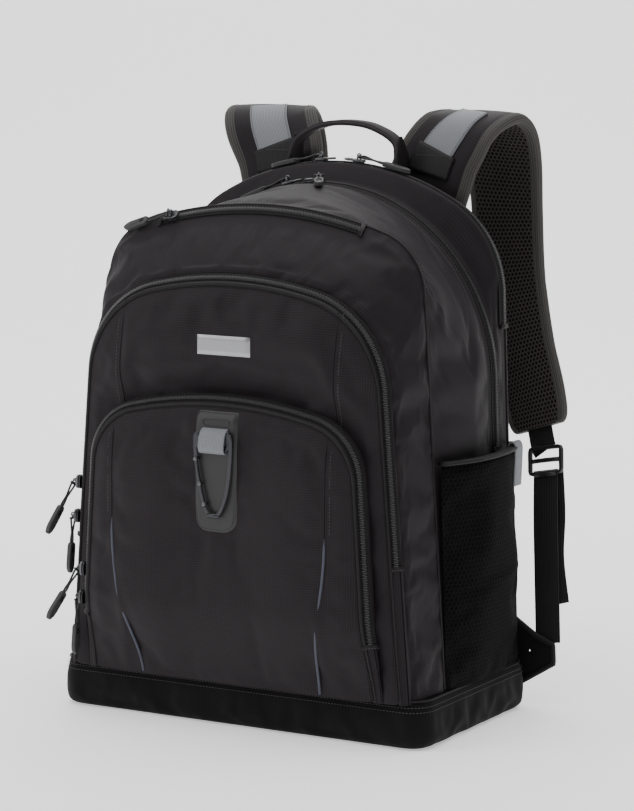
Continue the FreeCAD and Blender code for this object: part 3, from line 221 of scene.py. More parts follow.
def skin(name, rows, material, flip=False):
    """A surface through rows of points, with its UV map measured along it in metres."""
    columns = len(rows[0])
    middle = rows[len(rows) // 2]
    along = [0.0]
    for a, b in zip(middle, middle[1:]):
        along.append(along[-1] + (b - a).length)
    across = [0.0]
    for a, b in zip(rows, rows[1:]):
        across.append(across[-1] + (b[columns // 2] - a[columns // 2]).length)
    uvs = [(along[c], across[r]) for r in range(len(rows)) for c in range(columns)]
    faces = grid_faces(len(rows), columns)
    if flip:
        faces = [tuple(reversed(face)) for face in faces]
    return mesh_piece(name, [p for row in rows for p in row], faces, material, uvs)


def walk(path, pitch):
    """Evenly spaced (point, tangent, normal) along a path of (point, normal) pairs."""
    lengths = [0.0]
    for (a, _), (b, _) in zip(path, path[1:]):
        lengths.append(lengths[-1] + (b - a).length)
    count = max(int(round(lengths[-1] / pitch)), 1)
    stops = []
    index = 0
    for step in range(count + 1):
        distance = lengths[-1] * step / count
        while index < len(path) - 2 and lengths[index + 1] < distance:
            index += 1
        (a, na), (b, nb) = path[index], path[index + 1]
        share = (distance - lengths[index]) / max(lengths[index + 1] - lengths[index], 1e-9)
        stops.append((a.lerp(b, share), (b - a).normalized(), na.lerp(nb, share).normalized()))
    return stops


def frame_matrix(point, tangent, normal):
    """Local X along the tangent, Z along the normal."""
    side = normal.cross(tangent).normalized()
    up = tangent.cross(side).normalized()
    return Matrix(((tangent.x, side.x, up.x, point.x), (tangent.y, side.y, up.y, point.y),
                   (tangent.z, side.z, up.z, point.z), (0, 0, 0, 1)))


def sweep(name, path, profile, material, closed=False, scales=None, face_slots=None, pitch=None):
    """A closed profile of (across, up) points swept along (point, normal) pairs."""
    stops = walk(path, pitch) if pitch else tangents(path, closed)
    ring = len(profile) + 1
    points, uvs = [], []
    travelled = 0.0
    girth = [0.0]
    for a, b in zip(profile, profile[1:] + profile[:1]):
        girth.append(girth[-1] + math.hypot(b[0] - a[0], b[1] - a[1]))
    for index, (point, tangent, normal) in enumerate(stops):
        place = frame_matrix(point, tangent, normal)
        if index:
            travelled += (point - stops[index - 1][0]).length
        wide, deep = scales[index] if scales else (1.0, 1.0)
        for corner in range(ring):
            a, b = profile[corner % len(profile)]
            points.append(place @ Vector((0, a * wide, b * deep)))
            uvs.append((girth[corner], travelled))
    faces = grid_faces(len(stops), ring)
    slots = None
    if face_slots:
        slots = [face_slots[index % len(profile)] for index in range(len(faces))]
    if closed:
        last = (len(stops) - 1) * ring
        faces += [(last + c, last + c + 1, c + 1, c) for c in range(ring - 1)]
    else:
        last = (len(stops) - 1) * ring
        faces.append(tuple(range(ring - 2, -1, -1)))
        faces.append(tuple(last + c for c in range(ring - 1)))
        slots = slots + [face_slots[0]] * 2 if slots else None
    piece = mesh_piece(name, points, faces, material, uvs, slots)
    weld(piece)
    return piece


def weld(piece):
    """Joins the doubled points along a sweep's seam; the UV map keeps its own corners."""
    mesh = bmesh.new()
    mesh.from_mesh(piece.data)
    bmesh.ops.remove_doubles(mesh, verts=mesh.verts, dist=1e-6)
    bmesh.ops.recalc_face_normals(mesh, faces=mesh.faces)
    mesh.to_mesh(piece.data)
    mesh.free()


def tangents(path, closed=False):
    stops = []
    count = len(path)
    for index, (point, normal) in enumerate(path):
        before = path[index - 1][0] if closed or index else point
        after = path[(index + 1) % count][0] if closed or index < count - 1 else point
        stops.append((point, (after - before).normalized(), normal))
    return stops


def circle(radius, count):
    return [(radius * math.cos(math.tau * i / count), radius * math.sin(math.tau * i / count))
            for i in range(count)]


def rounded(width, depth, corner, steps=3):
    """A rounded rectangle profile, counted round from its right side."""
    profile = []
    corners = ((1, 1, 0), (-1, 1, 1), (-1, -1, 2), (1, -1, 3))
    for sx, sy, quarter in corners:
        for step in range(steps + 1):
            angle = math.pi / 2 * (quarter + step / steps)
            profile.append((sx * (width / 2 - corner) + corner * math.cos(angle),
                            sy * (depth / 2 - corner) + corner * math.sin(angle)))
    return profile


def scatter(name, template, places, material):
    """Many copies of a small template, joined into one piece."""
    base_points, base_faces = template
    points, faces = [], []
    for place in places:
        start = len(points)
        points.extend(place @ p for p in base_points)
        faces.extend(tuple(start + i for i in face) for face in base_faces)
    return mesh_piece(name, points, faces, material)


def capsule(length, radius, sides=6, flat=1.0):
    """A round-ended bar along X."""
    points, faces = [], []
    stations = ((-0.5, 0.35), (-0.42, 0.85), (0.0, 1.0), (0.42, 0.85), (0.5, 0.35))
    for x, wide in stations:
        points += [Vector((x * length, radius * wide * math.cos(math.tau * i / sides),
                           radius * wide * flat * math.sin(math.tau * i / sides))) for i in range(sides)]
    for row in range(len(stations) - 1):
        for i in range(sides):
            j = (i + 1) % sides
            faces.append((row * sides + i, row * sides + j, (row + 1) * sides + j, (row + 1) * sides + i))
    faces.append(tuple(range(sides - 1, -1, -1)))
    faces.append(tuple(range((len(stations) - 1) * sides, len(stations) * sides)))
    return points, faces


def join(name, pieces):
    """Joins pieces into one object, which keeps every material."""
    bpy.ops.object.select_all(action="DESELECT")
    for piece in pieces:
        piece.select_set(True)
    bpy.context.view_layer.objects.active = pieces[0]
    bpy.ops.object.join()
    pieces[0].name = name
    return pieces[0]


def bevelled(piece, width):
    """Softens the edges of a hard piece for good."""
    modifier = piece.modifiers.new("soft_edges", "BEVEL")
    modifier.width = width
    modifier.segments = 2
    modifier.limit_method = "ANGLE"
    apply_modifiers(piece)
    return piece


def apply_modifiers(piece):
    graph = bpy.context.evaluated_depsgraph_get()
    data = bpy.data.meshes.new_from_object(piece.evaluated_get(graph))
    piece.modifiers.clear()
    piece.data = data


def place(piece, matrix):
    piece.data.transform(matrix)
    return piece


# ---------------------------------------------------------------- materials
class Shader:
    """A small builder of node materials."""

    def __init__(self, name, colour, roughness, **sockets):
        self.material = bpy.data.materials.new(name)
        self.material.use_nodes = True
        self.tree = self.material.node_tree
        self.surface = self.tree.nodes["Principled BSDF"]
        self.surface.inputs["Base Color"].default_value = (*colour, 1)
        self.surface.inputs["Roughness"].default_value = roughness
        for socket, value in sockets.items():
            self.surface.inputs[socket.replace("_", " ")].default_value = value

    def node(self, kind, **inputs):
        node = self.tree.nodes.new(kind)
        for socket, value in inputs.items():
            self.feed(node.inputs[socket.replace("_", " ")], value)
        return node

    def feed(self, socket, value):
        if isinstance(value, bpy.types.NodeSocket):
            self.tree.links.new(value, socket)
        else:
            socket.default_value = value

    def math(self, operation, *values):
        node = self.tree.nodes.new("ShaderNodeMath")
        node.operation = operation
        for socket, value in zip(node.inputs, values):
            self.feed(socket, value)
        return node.outputs[0]

    def uv(self):
        split = self.tree.nodes.new("ShaderNodeSeparateXYZ")
        self.tree.links.new(self.node("ShaderNodeTexCoord").outputs["UV"], split.inputs[0])
        return split.outputs[0], split.outputs[1]

    def noise(self, scale, detail=3.0, vector=None):
        vector = vector or self.node("ShaderNodeTexCoord").outputs["Object"]
        return self.node("ShaderNodeTexNoise", Vector=vector, Scale=scale, Detail=detail).outputs[0]

    def blend_colour(self, factor, low, high):
        ramp = self.tree.nodes.new("ShaderNodeValToRGB")
        ramp.color_ramp.elements[0].color = (*low, 1)
        ramp.color_ramp.elements[1].color = (*high, 1)
        self.tree.links.new(factor, ramp.inputs[0])
        self.tree.links.new(ramp.outputs[0], self.surface.inputs["Base Color"])

    def range_of(self, factor, low, high, socket):
        node = self.tree.nodes.new("ShaderNodeMapRange")
        self.feed(node.inputs["Value"], factor)
        node.inputs["To Min"].default_value = low
        node.inputs["To Max"].default_value = high
        self.tree.links.new(node.outputs[0], self.surface.inputs[socket])

    def bump(self, height, distance, strength=1.0):
        node = self.tree.nodes.new("ShaderNodeBump")
        node.inputs["Strength"].default_value = strength
        node.inputs["Distance"].default_value = distance
        self.tree.links.new(height, node.inputs["Height"])
        previous = self.surface.inputs["Normal"]
        if previous.is_linked:
            self.tree.links.new(previous.links[0].from_socket, node.inputs["Normal"])
        self.tree.links.new(node.outputs[0], previous)

    def stripes(self, coordinate, pitch, share):
        """1 on thin lines at each pitch, 0 between them, with soft sides."""
        phase = self.math("FRACT", self.math("DIVIDE", coordinate, pitch))
        away = self.math("ABSOLUTE", self.math("SUBTRACT", phase, 0.5))
        return self.math("SMOOTH_MIN", self.math("MAXIMUM", self.math(
            "DIVIDE", self.math("SUBTRACT", share, away), share), 0.0), 1.0, 0.1)

    def wave(self, coordinate, pitch):
        """A sine along a coordinate, from 0 to 1."""
        turn = self.math("MULTIPLY", coordinate, math.tau / pitch)
        return self.math("MULTIPLY_ADD", self.math("SINE", turn), 0.5, 0.5)


def ripstop(name, colour, line, roughness=0.62):
    """Satin nylon with a fine grid of raised threads."""
    shader = Shader(name, colour, roughness, Sheen_Weight=0.02, Sheen_Roughness=0.45)
    shader.surface.inputs["Specular IOR Level"].default_value = 0.17
    u, v = shader.uv()
    pitch = 2.1 * MM
    lines = shader.math("MAXIMUM", shader.stripes(u, pitch, 0.2), shader.stripes(v, pitch, 0.2))
    weave = shader.math("MULTIPLY", shader.wave(u, 0.42 * MM), shader.wave(v, 0.42 * MM))
    cloudy = shader.noise(26.0)
    tone = shader.math("ADD", shader.math("MULTIPLY", lines, 0.6), shader.math("MULTIPLY", cloudy, 0.4))
    shader.blend_colour(tone, colour, line)
    shader.range_of(cloudy, roughness - 0.08, roughness + 0.08, "Roughness")
    height = shader.math("ADD", lines, shader.math("MULTIPLY", weave, 0.35))
    shader.bump(height, 0.06 * MM, 0.55)
    shader.bump(shader.noise(150.0, 4.0), 0.35 * MM, 0.35)
    return shader.material


def hex_mesh(name, thread, hole, pitch=4.4 * MM):
    """Knitted spacer mesh with rows of round holes."""
    shader = Shader(name, thread, 0.8)
    shader.surface.inputs["Specular IOR Level"].default_value = 0.08
    u, v = shader.uv()
    tall = pitch * math.sqrt(3)

    def centred(coordinate, step, shift):
        """How far a coordinate is from the middle of its cell, as a share of the cell."""
        cell = shader.math("ADD", shader.math("DIVIDE", coordinate, step), shift)
        return shader.math("SUBTRACT", shader.math("FRACT", cell), 0.5)

    def lattice(shift):
        """Distance from the nearest hole of one of the mesh's two grids."""
        x = centred(u, pitch, shift)
        y = shader.math("MULTIPLY", centred(v, tall, shift), math.sqrt(3))
        return shader.math("SQRT", shader.math("ADD", shader.math("MULTIPLY", x, x),
                                               shader.math("MULTIPLY", y, y)))

    away = shader.math("MINIMUM", lattice(0.0), lattice(0.5))
    solid = shader.math("MINIMUM", shader.math("MAXIMUM", shader.math(
        "DIVIDE", shader.math("SUBTRACT", away, 0.30), 0.12), 0.0), 1.0)
    knit = shader.math("MULTIPLY", shader.wave(u, 0.7 * MM), shader.wave(v, 0.55 * MM))
    tone = shader.math("MULTIPLY", solid, shader.math("MULTIPLY_ADD", knit, 0.4, 0.6))
    shader.blend_colour(tone, hole, thread)
    shader.bump(shader.math("ADD", solid, shader.math("MULTIPLY", knit, 0.2)), 0.9 * MM, 0.8)
    return shader.material


def webbing(name, colour, light, rib=1.6 * MM, roughness=0.55):
    """Woven tape with lengthwise ribs (across u) and fine cross threads (along v)."""
    shader = Shader(name, colour, roughness)
    shader.surface.inputs["Specular IOR Level"].default_value = 0.25
    u, v = shader.uv()
    ribs = shader.wave(u, rib)
    threads = shader.wave(shader.math("ADD", v, shader.math("MULTIPLY", ribs, 0.35 * MM)), 0.9 * MM)
    tone = shader.math("MULTIPLY", shader.math("MULTIPLY_ADD", threads, 0.5, 0.5), ribs)
    shader.blend_colour(tone, colour, light)
    shader.bump(shader.math("ADD", ribs, shader.math("MULTIPLY", threads, 0.4)), 0.25 * MM, 0.7)
    return shader.material


def plain_cloth(name, colour, light, roughness=0.75, grain=900.0):
    """A close plain weave or moulded texture seen as fine grain."""
    shader = Shader(name, colour, roughness)
    shader.surface.inputs["Specular IOR Level"].default_value = 0.25
    grain_noise = shader.noise(grain, 2.0)
    shader.blend_colour(grain_noise, colour, light)
    shader.range_of(shader.noise(60.0), roughness - 0.07, roughness + 0.05, "Roughness")
    shader.bump(grain_noise, 0.12 * MM, 0.4)
    return shader.material


def metal(name, colour, roughness):
    shader = Shader(name, colour, roughness, Metallic=0.9)
    shader.range_of(shader.noise(320.0), roughness - 0.06, roughness + 0.12, "Roughness")
    shader.bump(shader.noise(700.0, 2.0), 0.03 * MM, 0.25)
    return shader.material


def moulded(name, colour, roughness):
    shader = Shader(name, colour, roughness)
    shader.range_of(shader.noise(420.0), roughness - 0.05, roughness + 0.1, "Roughness")
    shader.bump(shader.noise(1400.0, 2.0), 0.04 * MM, 0.3)
    return shader.material


FABRIC = ripstop("ripstop", (0.0050, 0.0036, 0.0046), (0.0240, 0.0190, 0.0225))
BOOT_FABRIC = ripstop("boot_cloth", (0.0018, 0.0014, 0.0017), (0.0050, 0.0040, 0.0047), 0.8)
WELT = plain_cloth("welt_cloth", (0.0055, 0.0041, 0.0050), (0.0105, 0.0084, 0.0098), 0.6, 1100.0)
SPACER = hex_mesh("spacer_mesh", (0.078, 0.068, 0.065), (0.008, 0.007, 0.007))
POCKET_MESH = hex_mesh("pocket_mesh", (0.0060, 0.0048, 0.0050), (0.0004, 0.0004, 0.0004), 4.4 * MM)
BINDING = webbing("binding_tape", (0.034, 0.031, 0.029), (0.078, 0.073, 0.069), 2.2 * MM, 0.7)
GREY_WEBBING = webbing("grey_webbing", (0.120, 0.126, 0.136), (0.27, 0.28, 0.30), 1.4 * MM, 0.5)
HANDLE_WEBBING = webbing("handle_webbing", (0.0120, 0.0098, 0.0112), (0.036, 0.030, 0.034), 2.4 * MM, 0.6)
DARK_WEBBING = webbing("dark_webbing", (0.006, 0.0055, 0.006), (0.018, 0.0165, 0.017), 2.4 * MM, 0.6)
ZIP_TAPE = webbing("zip_tape", (0.005, 0.0045, 0.005), (0.010, 0.009, 0.010), 1.1 * MM, 0.8)
COIL = moulded("zip_coil", (0.040, 0.038, 0.040), 0.30)
THREAD = plain_cloth("thread", (0.045, 0.041, 0.043), (0.10, 0.094, 0.097), 0.6, 2400.0)
DARK_THREAD = plain_cloth("dark_seam", (0.004, 0.004, 0.004), (0.010, 0.009, 0.010), 0.85, 2400.0)
PIPING = plain_cloth("piping", (0.040, 0.043, 0.058), (0.075, 0.080, 0.105), 0.5, 1500.0)
RUBBER = moulded("rubber_patch", (0.0125, 0.0118, 0.0130), 0.46)
GUNMETAL = metal("gunmetal", (0.055, 0.055, 0.060), 0.36)
LIGHT_METAL = metal("slider_metal", (0.115, 0.115, 0.120), 0.34)
GRIP = moulded("pull_grip", (0.030, 0.029, 0.031), 0.55)
CORD = webbing("pull_cord", (0.020, 0.020, 0.021), (0.075, 0.075, 0.078), 0.9 * MM, 0.7)
PLASTIC = moulded("black_plastic", (0.012, 0.012, 0.013), 0.38)
BADGE = metal("badge", (0.34, 0.34, 0.35), 0.36)

# ---------------------------------------------------------------- seams, stitches and zips
def stitch_row(name, path, pitch=3.0 * MM, length=1.9 * MM, radius=0.28 * MM, material=None, lift=0.1 * MM):
    """A row of stitches along (point, normal) pairs, as one piece."""
    places = [frame_matrix(p + n * lift, t, n) for p, t, n in walk(path, pitch)]
    return scatter(name, capsule(length, radius, 5), places, material or THREAD)


def seam_line(name, path, radius=0.7 * MM, material=None, pitch=5 * MM):
    return sweep(name, path, circle(radius, 8), material or DARK_THREAD, pitch=pitch)


def crown_part(path, half):
    return [(p, n) for p, n in path if abs(p.x) <= half]


def zip_tape(name, path, across, side):
    """The tape on one side of a zip's path: -1 at its front or inner side, 1 at the other."""
    centre = side * (TAPE_HALF / 2 + 0.5 * MM)
    line = [(p + toward * centre, n) for (p, n), toward in zip(path, across)]
    return sweep(f"{name}_tape_{'front' if side < 0 else 'rear'}", line,
                 rounded(TAPE_HALF - 0.4 * MM, 0.8 * MM, 0.3 * MM, 1), ZIP_TAPE, pitch=4 * MM)


def zip_coil(name, path):
    """The ribs of a closed coil, set a little to one side and the other in turn."""
    places = []
    for index, (point, tangent, normal) in enumerate(walk(path, COIL_PITCH)):
        side = normal.cross(tangent).normalized()
        shift = COIL_SHIFT if index % 2 else -COIL_SHIFT
        places.append(frame_matrix(point + normal * 0.9 * MM + side * shift, side, normal))
    return scatter(f"{name}_coil", capsule(4.2 * MM, 0.54 * MM, 6, 1.5), places, COIL)


# ---------------------------------------------------------------- fabric panels
CLOTHS = []
CLOTH_FRAMES = 20
CLOTH_SETTINGS = {
    "vertex_group_mass": "seams", "quality": 6, "mass": 0.25, "tension_stiffness": 25,
    "compression_stiffness": 25, "shear_stiffness": 12, "bending_stiffness": 0.6, "air_damping": 4,
    "use_pressure": True,
}


def relax(piece, pins, cap, grow, pressure):
    """Marks a fabric panel to settle as cloth: held at its seams, cut a little too large and
    pressed from inside, and never further than cap from where it starts."""
    CLOTHS.append((piece, pins, cap, grow, pressure))


def settle_cloths():
    """Runs every marked panel together, then keeps the result as plain mesh."""
    starts = {}
    for piece, pins, cap, grow, pressure in CLOTHS:
        starts[piece.name] = [v.co.copy() for v in piece.data.vertices]
        group = piece.vertex_groups.new(name="seams")
        group.add(sorted(pins), 1.0, "REPLACE")
        for vertex in piece.data.vertices:
            if vertex.index not in pins:
                nudge = noise.noise(vertex.co * 38.0) * 0.4 * MM
                vertex.co += vertex.normal * nudge
        modifier = piece.modifiers.new("cloth", "CLOTH")
        cloth = modifier.settings
        for setting, value in CLOTH_SETTINGS.items():
            setattr(cloth, setting, value)
        cloth.shrink_min = grow
        cloth.shrink_max = grow
        cloth.uniform_pressure_force = pressure
        cloth.effector_weights.gravity = 0
        modifier.collision_settings.use_collision = False
        modifier.point_cache.frame_start = 1
        modifier.point_cache.frame_end = CLOTH_FRAMES
    scene = bpy.context.scene
    for step in range(1, CLOTH_FRAMES + 1):
        scene.frame_set(step)
    graph = bpy.context.evaluated_depsgraph_get()
    for piece, _, cap, _, _ in CLOTHS:
        settled = piece.evaluated_get(graph).data
        ends = [v.co.copy() for v in settled.vertices]
        piece.modifiers.clear()
        piece.vertex_groups.clear()
        for vertex, start, end in zip(piece.data.vertices, starts[piece.name], ends):
            move = end - start
            length = move.length
            if length > 1e-9:
                move *= cap * math.tanh(length / cap) / length
            vertex.co = start + move
    scene.frame_set(1)


def soften(piece):
    """One subdivision, kept as plain mesh."""
    modifier = piece.modifiers.new("soften", "SUBSURF")
    modifier.levels = 1
    apply_modifiers(piece)
    return piece


def wall(name, stations, material=FABRIC, pitch=4.5 * MM, cap=0.0, grow=-0.02, pressure=2.0, still=None):
    """A fabric wall between (arch, y, lift) stations listed from front to back. With a cap it
    settles as cloth, held at its edges and wherever still(point) is true."""
    rails = [arch.rail(y, lift, BOOT_TOP - 2 * MM) for arch, y, lift in stations]
    rows = []
    for a, b in zip(rails, rails[1:]):
        middle = len(a) // 2
        count = max(2, int(round((b[middle][0] - a[middle][0]).length / pitch)))
        for step in range(count):
            rows.append([drawn_in(p.lerp(q, step / count)) for (p, _), (q, _) in zip(a, b)])
    rows.append([drawn_in(p) for p, _ in rails[-1]])
    piece = skin(name, rows, material)
    if cap:
        columns = len(rows[0])
        seams = (0, len(rows) - 1)
        pins = {r * columns + c for r in range(len(rows)) for c in range(columns)
                if r in seams or c < 1 or c >= columns - 1 or (still and still(rows[r][c]))}
        relax(piece, pins, cap, grow, pressure)
    return piece


def face_panel(name, arch, foot, surface, pitch=5 * MM, material=FABRIC, back=False):
    """A panel over an arch: a level grid cut to it, with its rim snapped onto it. Returns the
    panel and the numbers of its rim points."""
    columns = 2 * int(arch.half / pitch) + 5
    rows = int((arch.top - foot) / pitch) + 2
    points = {}
    for r in range(rows):
        for c in range(columns):
            x, z = (c - columns // 2) * pitch, foot + r * pitch
            if arch.depth(x, z) > 0.35 * pitch and z < arch.top:
                points[(r, c)] = (x, z)
    cells = [(r, c) for r, c in points
             if all(k in points for k in ((r, c + 1), (r + 1, c), (r + 1, c + 1)))]
    used = sorted({(r + i, c + j) for r, c in cells for i in (0, 1) for j in (0, 1)})
    number = {key: index for index, key in enumerate(used)}
    filled = set(cells)
    rim, places = set(), []
    for r, c in used:
        x, z = points[(r, c)]
        around = sum((r - i, c - j) in filled for i in (0, 1) for j in (0, 1))
        if around < 4:
            rim.add(number[(r, c)])
        if around < 4 and not (r == 0 and around == 2):
            for _ in range(3):
                depth = arch.depth(x, z)
                step = 0.5 * MM
                slope_x = (arch.depth(x + step, z) - arch.depth(x - step, z)) / (2 * step)
                slope_z = (arch.depth(x, z + step) - arch.depth(x, z - step)) / (2 * step)
                x -= slope_x * depth
                z -= slope_z * depth if r else 0.0
        places.append(Vector((x, surface(x, z), z)))
    faces = [(number[(r, c)], number[(r, c + 1)], number[(r + 1, c + 1)], number[(r + 1, c)])
             for r, c in cells]
    if back:
        faces = [tuple(reversed(face)) for face in faces]
    return mesh_piece(name, places, faces, material, [(p.x, p.z) for p in places]), rim


UPPER_FACE = Arch("upper_face", 5 * MM)
UPPER_FACE.y = -113.2 * MM
LOWER_FACE = Arch("lower_face", 6 * MM)
LOWER_FACE.y = -131.2 * MM
LOWER_RIM = Arch("lower_rim")
UPPER_RIM = Arch("upper_rim")
PAD = Arch("pad")


def upper_surface(x, z):
    """Depth of the upper pocket's face: it swells between its seam and the lower pocket."""
    inside = smooth(UPPER_FACE.depth(x, z) / (42 * MM))
    clear = smooth(-LOWER_RIM.depth(x, z) / (30 * MM))
    near_seam = 2.6 * MM * smooth(UPPER_FACE.depth(x, z) / (12 * MM))
    return drawn_in(Vector((x, UPPER_FACE.y - near_seam - 8.0 * MM * inside * clear, z))).y


def lower_surface(x, z):
    """Depth of the lower pocket's face: nearly flat, and drawn in towards the boot."""
    inside = smooth(LOWER_FACE.depth(x, z) / (40 * MM))
    swell = 1.0 * MM + 2.5 * MM * smooth((abs(x) - 30 * MM) / (40 * MM))
    near_seam = 3.0 * MM * smooth(LOWER_FACE.depth(x, z) / (12 * MM))
    return drawn_in(Vector((x, LOWER_FACE.y - near_seam - (swell + 1.6 * MM) * inside, z))).y


def back_surface(x, z):
    """Depth of the padded back: two columns of pads with a channel between and across them."""
    inside = smooth(PAD.depth(x, z) / (26 * MM))
    foot = smooth((z - PAD.floor) / (24 * MM))
    channel = 1 - 0.75 * math.exp(-(x / (13 * MM)) ** 2)
    for height in (165 * MM, 290 * MM, 410 * MM):
        channel = min(channel, 1 - 0.55 * math.exp(-((z - height) / (8 * MM)) ** 2))
    return PAD.y + 1.5 * MM + 11.0 * MM * inside * foot * channel


def on_surface(surface, points):
    """(point, normal) pairs just proud of a pocket's face, through (x, z) points."""
    pairs = []
    step = 1 * MM
    for x, z in points:
        slope_x = (surface(x + step, z) - surface(x - step, z)) / (2 * step)
        slope_z = (surface(x, z + step) - surface(x, z - step)) / (2 * step)
        pairs.append((Vector((x, surface(x, z), z)), Vector((slope_x, -1, slope_z)).normalized()))
    return pairs


def line_between(a, b, count=40):
    return [(mix(a[0], b[0], i / count), mix(a[1], b[1], i / count)) for i in range(count + 1)]


def make_bag_walls():
    """The compartments' walls. Returns those that settle as cloth, with the nodes they stand for."""
    back, main = Arch("back"), Arch("mainzip")
    mid, edge, quick, front = Arch("mid"), Arch("edge"), Arch("quick"), Arch("front")
    tape = TAPE_HALF - 1.2 * MM
    rear = wall("rear_edge", [(back, back.y + tape, 0.6 * MM), (back, 84 * MM, 0), (PAD, PAD.y, 0)], WELT)
    settle(rear, "bag", "ripstop")
    laptop = wall("laptop_gusset", [(main, main.y + tape, 0.3 * MM), (main, main.y + 8 * MM, 0.4 * MM),
                                    (back, back.y - 8 * MM, 0.4 * MM), (back, back.y - tape, 0.3 * MM)],
                  cap=1.6 * MM, pitch=3.5 * MM)
    side = wall("main_gusset", [(edge, edge.y, 0), (mid, mid.y, 0), (main, main.y - 9 * MM, 0),
                                (main, main.y - tape, 0.3 * MM)], cap=5.5 * MM, grow=-0.03, pressure=3.0,
                still=lambda p: p.y > main.y - 18 * MM or p.y < edge.y + 6 * MM)
    slope = wall("front_slope", [(UPPER_RIM, -103 * MM, -3 * MM), (front, front.y, -2 * MM),
                                 (front, front.y + 3 * MM, 0), (quick, quick.y, 0), (edge, edge.y, 0)],
                 cap=5.0 * MM, grow=-0.03, pressure=2.5,
                 still=lambda p: p.y > quick.y - 7 * MM and abs(p.x) < 112 * MM)
    reach = 5 * MM
    for arch in (back, main):
        stations = [(arch, arch.y - reach, 0.1 * MM), (arch, arch.y, 0.3 * MM),
                    (arch, arch.y + reach, 0.1 * MM)]
        base = wall(f"zip_base_{round(arch.y / MM)}", stations, WELT)
        settle(base, "bag", "ripstop")
    return ((laptop, "laptop_compartment_shell"), (side, "main_compartment_shell"), (slope, "front_panel"))


class Between:
    """An outline part of the way from an inner arch (share 0) to an outer one (share 1)."""

    def __init__(self, outer, inner, share):
        self.outer, self.inner, self.share = outer, inner, share

    def rail(self, y, lift, foot):
        pairs = zip(self.outer.rail(y, 0, foot), self.inner.rail(y, 0, foot))
        return [(p.lerp(q, self.share) + n * lift, n) for (q, n), (p, _) in pairs]


POCKET_ZIP_IN = 2.6 * MM
POCKET_ZIP_FORWARD = 2.4 * MM
POCKET_ZIP_TILT = math.radians(50)


def pocket_zip_path(rim, foot):
    """(point, normal) pairs along a pocket's zip, which faces half forwards, and its across vectors."""
    path, across = [], []
    for point, normal in rim.rail(rim.y - POCKET_ZIP_FORWARD, -POCKET_ZIP_IN, foot):
        facing = (normal * math.cos(POCKET_ZIP_TILT) + FRONT * math.sin(POCKET_ZIP_TILT)).normalized()
        path.append((drawn_in(point), facing))
        across.append((normal * math.sin(POCKET_ZIP_TILT) - FRONT * math.cos(POCKET_ZIP_TILT)).normalized())
    return path, across


def zip_edge(rim, shift):
    """The lift and the depth of a pocket zip's plane at a shift across it (outwards is positive)."""
    return (-POCKET_ZIP_IN + shift * math.sin(POCKET_ZIP_TILT),
            rim.y - POCKET_ZIP_FORWARD + shift * math.cos(POCKET_ZIP_TILT))


def make_pocket_walls(label, rim, face, behind):
    """A pocket's gusset behind its zip and the rolled welt in front of it."""
    reach = TAPE_HALF - 1.4 * MM
    outer_lift, outer_y = zip_edge(rim, reach)
    inner_lift, inner_y = zip_edge(rim, -reach)
    base = wall(f"{label}_zip_base", [(rim, inner_y, inner_lift - 0.3 * MM),
                                      (rim, rim.y - POCKET_ZIP_FORWARD, -POCKET_ZIP_IN - 0.2 * MM),
                                      (rim, outer_y, outer_lift - 0.3 * MM)], pitch=2.0 * MM)
    settle(base, "bag", "ripstop")
    gusset = wall(f"{label}_gusset", [(rim, outer_y, outer_lift + 0.4 * MM),
                                      (rim, outer_y + 1.6 * MM, 0.9 * MM),
                                      (rim, behind, -0.5 * MM)], pitch=2.0 * MM)
    stations = []
    for share in (0.0, 0.1, 0.25, 0.45, 0.65, 0.85, 1.0):
        roll = math.sin(math.pi * share)
        y = mix(face.y, inner_y, share) - 1.9 * MM * roll
        stations.append((Between(rim, face, share), y, inner_lift * share + 1.2 * MM * roll))
    rolled = wall(f"{label}_welt", stations, WELT, pitch=2.0 * MM)
    return gusset, rolled


def make_face_seams(label, face, surface, grow, foot, attach):
    """The dark seam round a pocket's face, and its row of stitches on an outline grown by grow."""
    path = [(drawn_in(p) + FRONT * 0.2 * MM, FRONT) for p, _ in face.rail(None, 0, foot)]
    attach(seam_line(f"{label}_face_seam", path), "piping")
    inner = Arch(f"{label}_face", grow)
    row = on_surface(surface, [(p.x, p.z) for p, _ in inner.rail(None, 0, foot)])
    attach(stitch_row(f"{label}_face_stitches", row, material=DARK_THREAD, pitch=3.4 * MM), "piping")


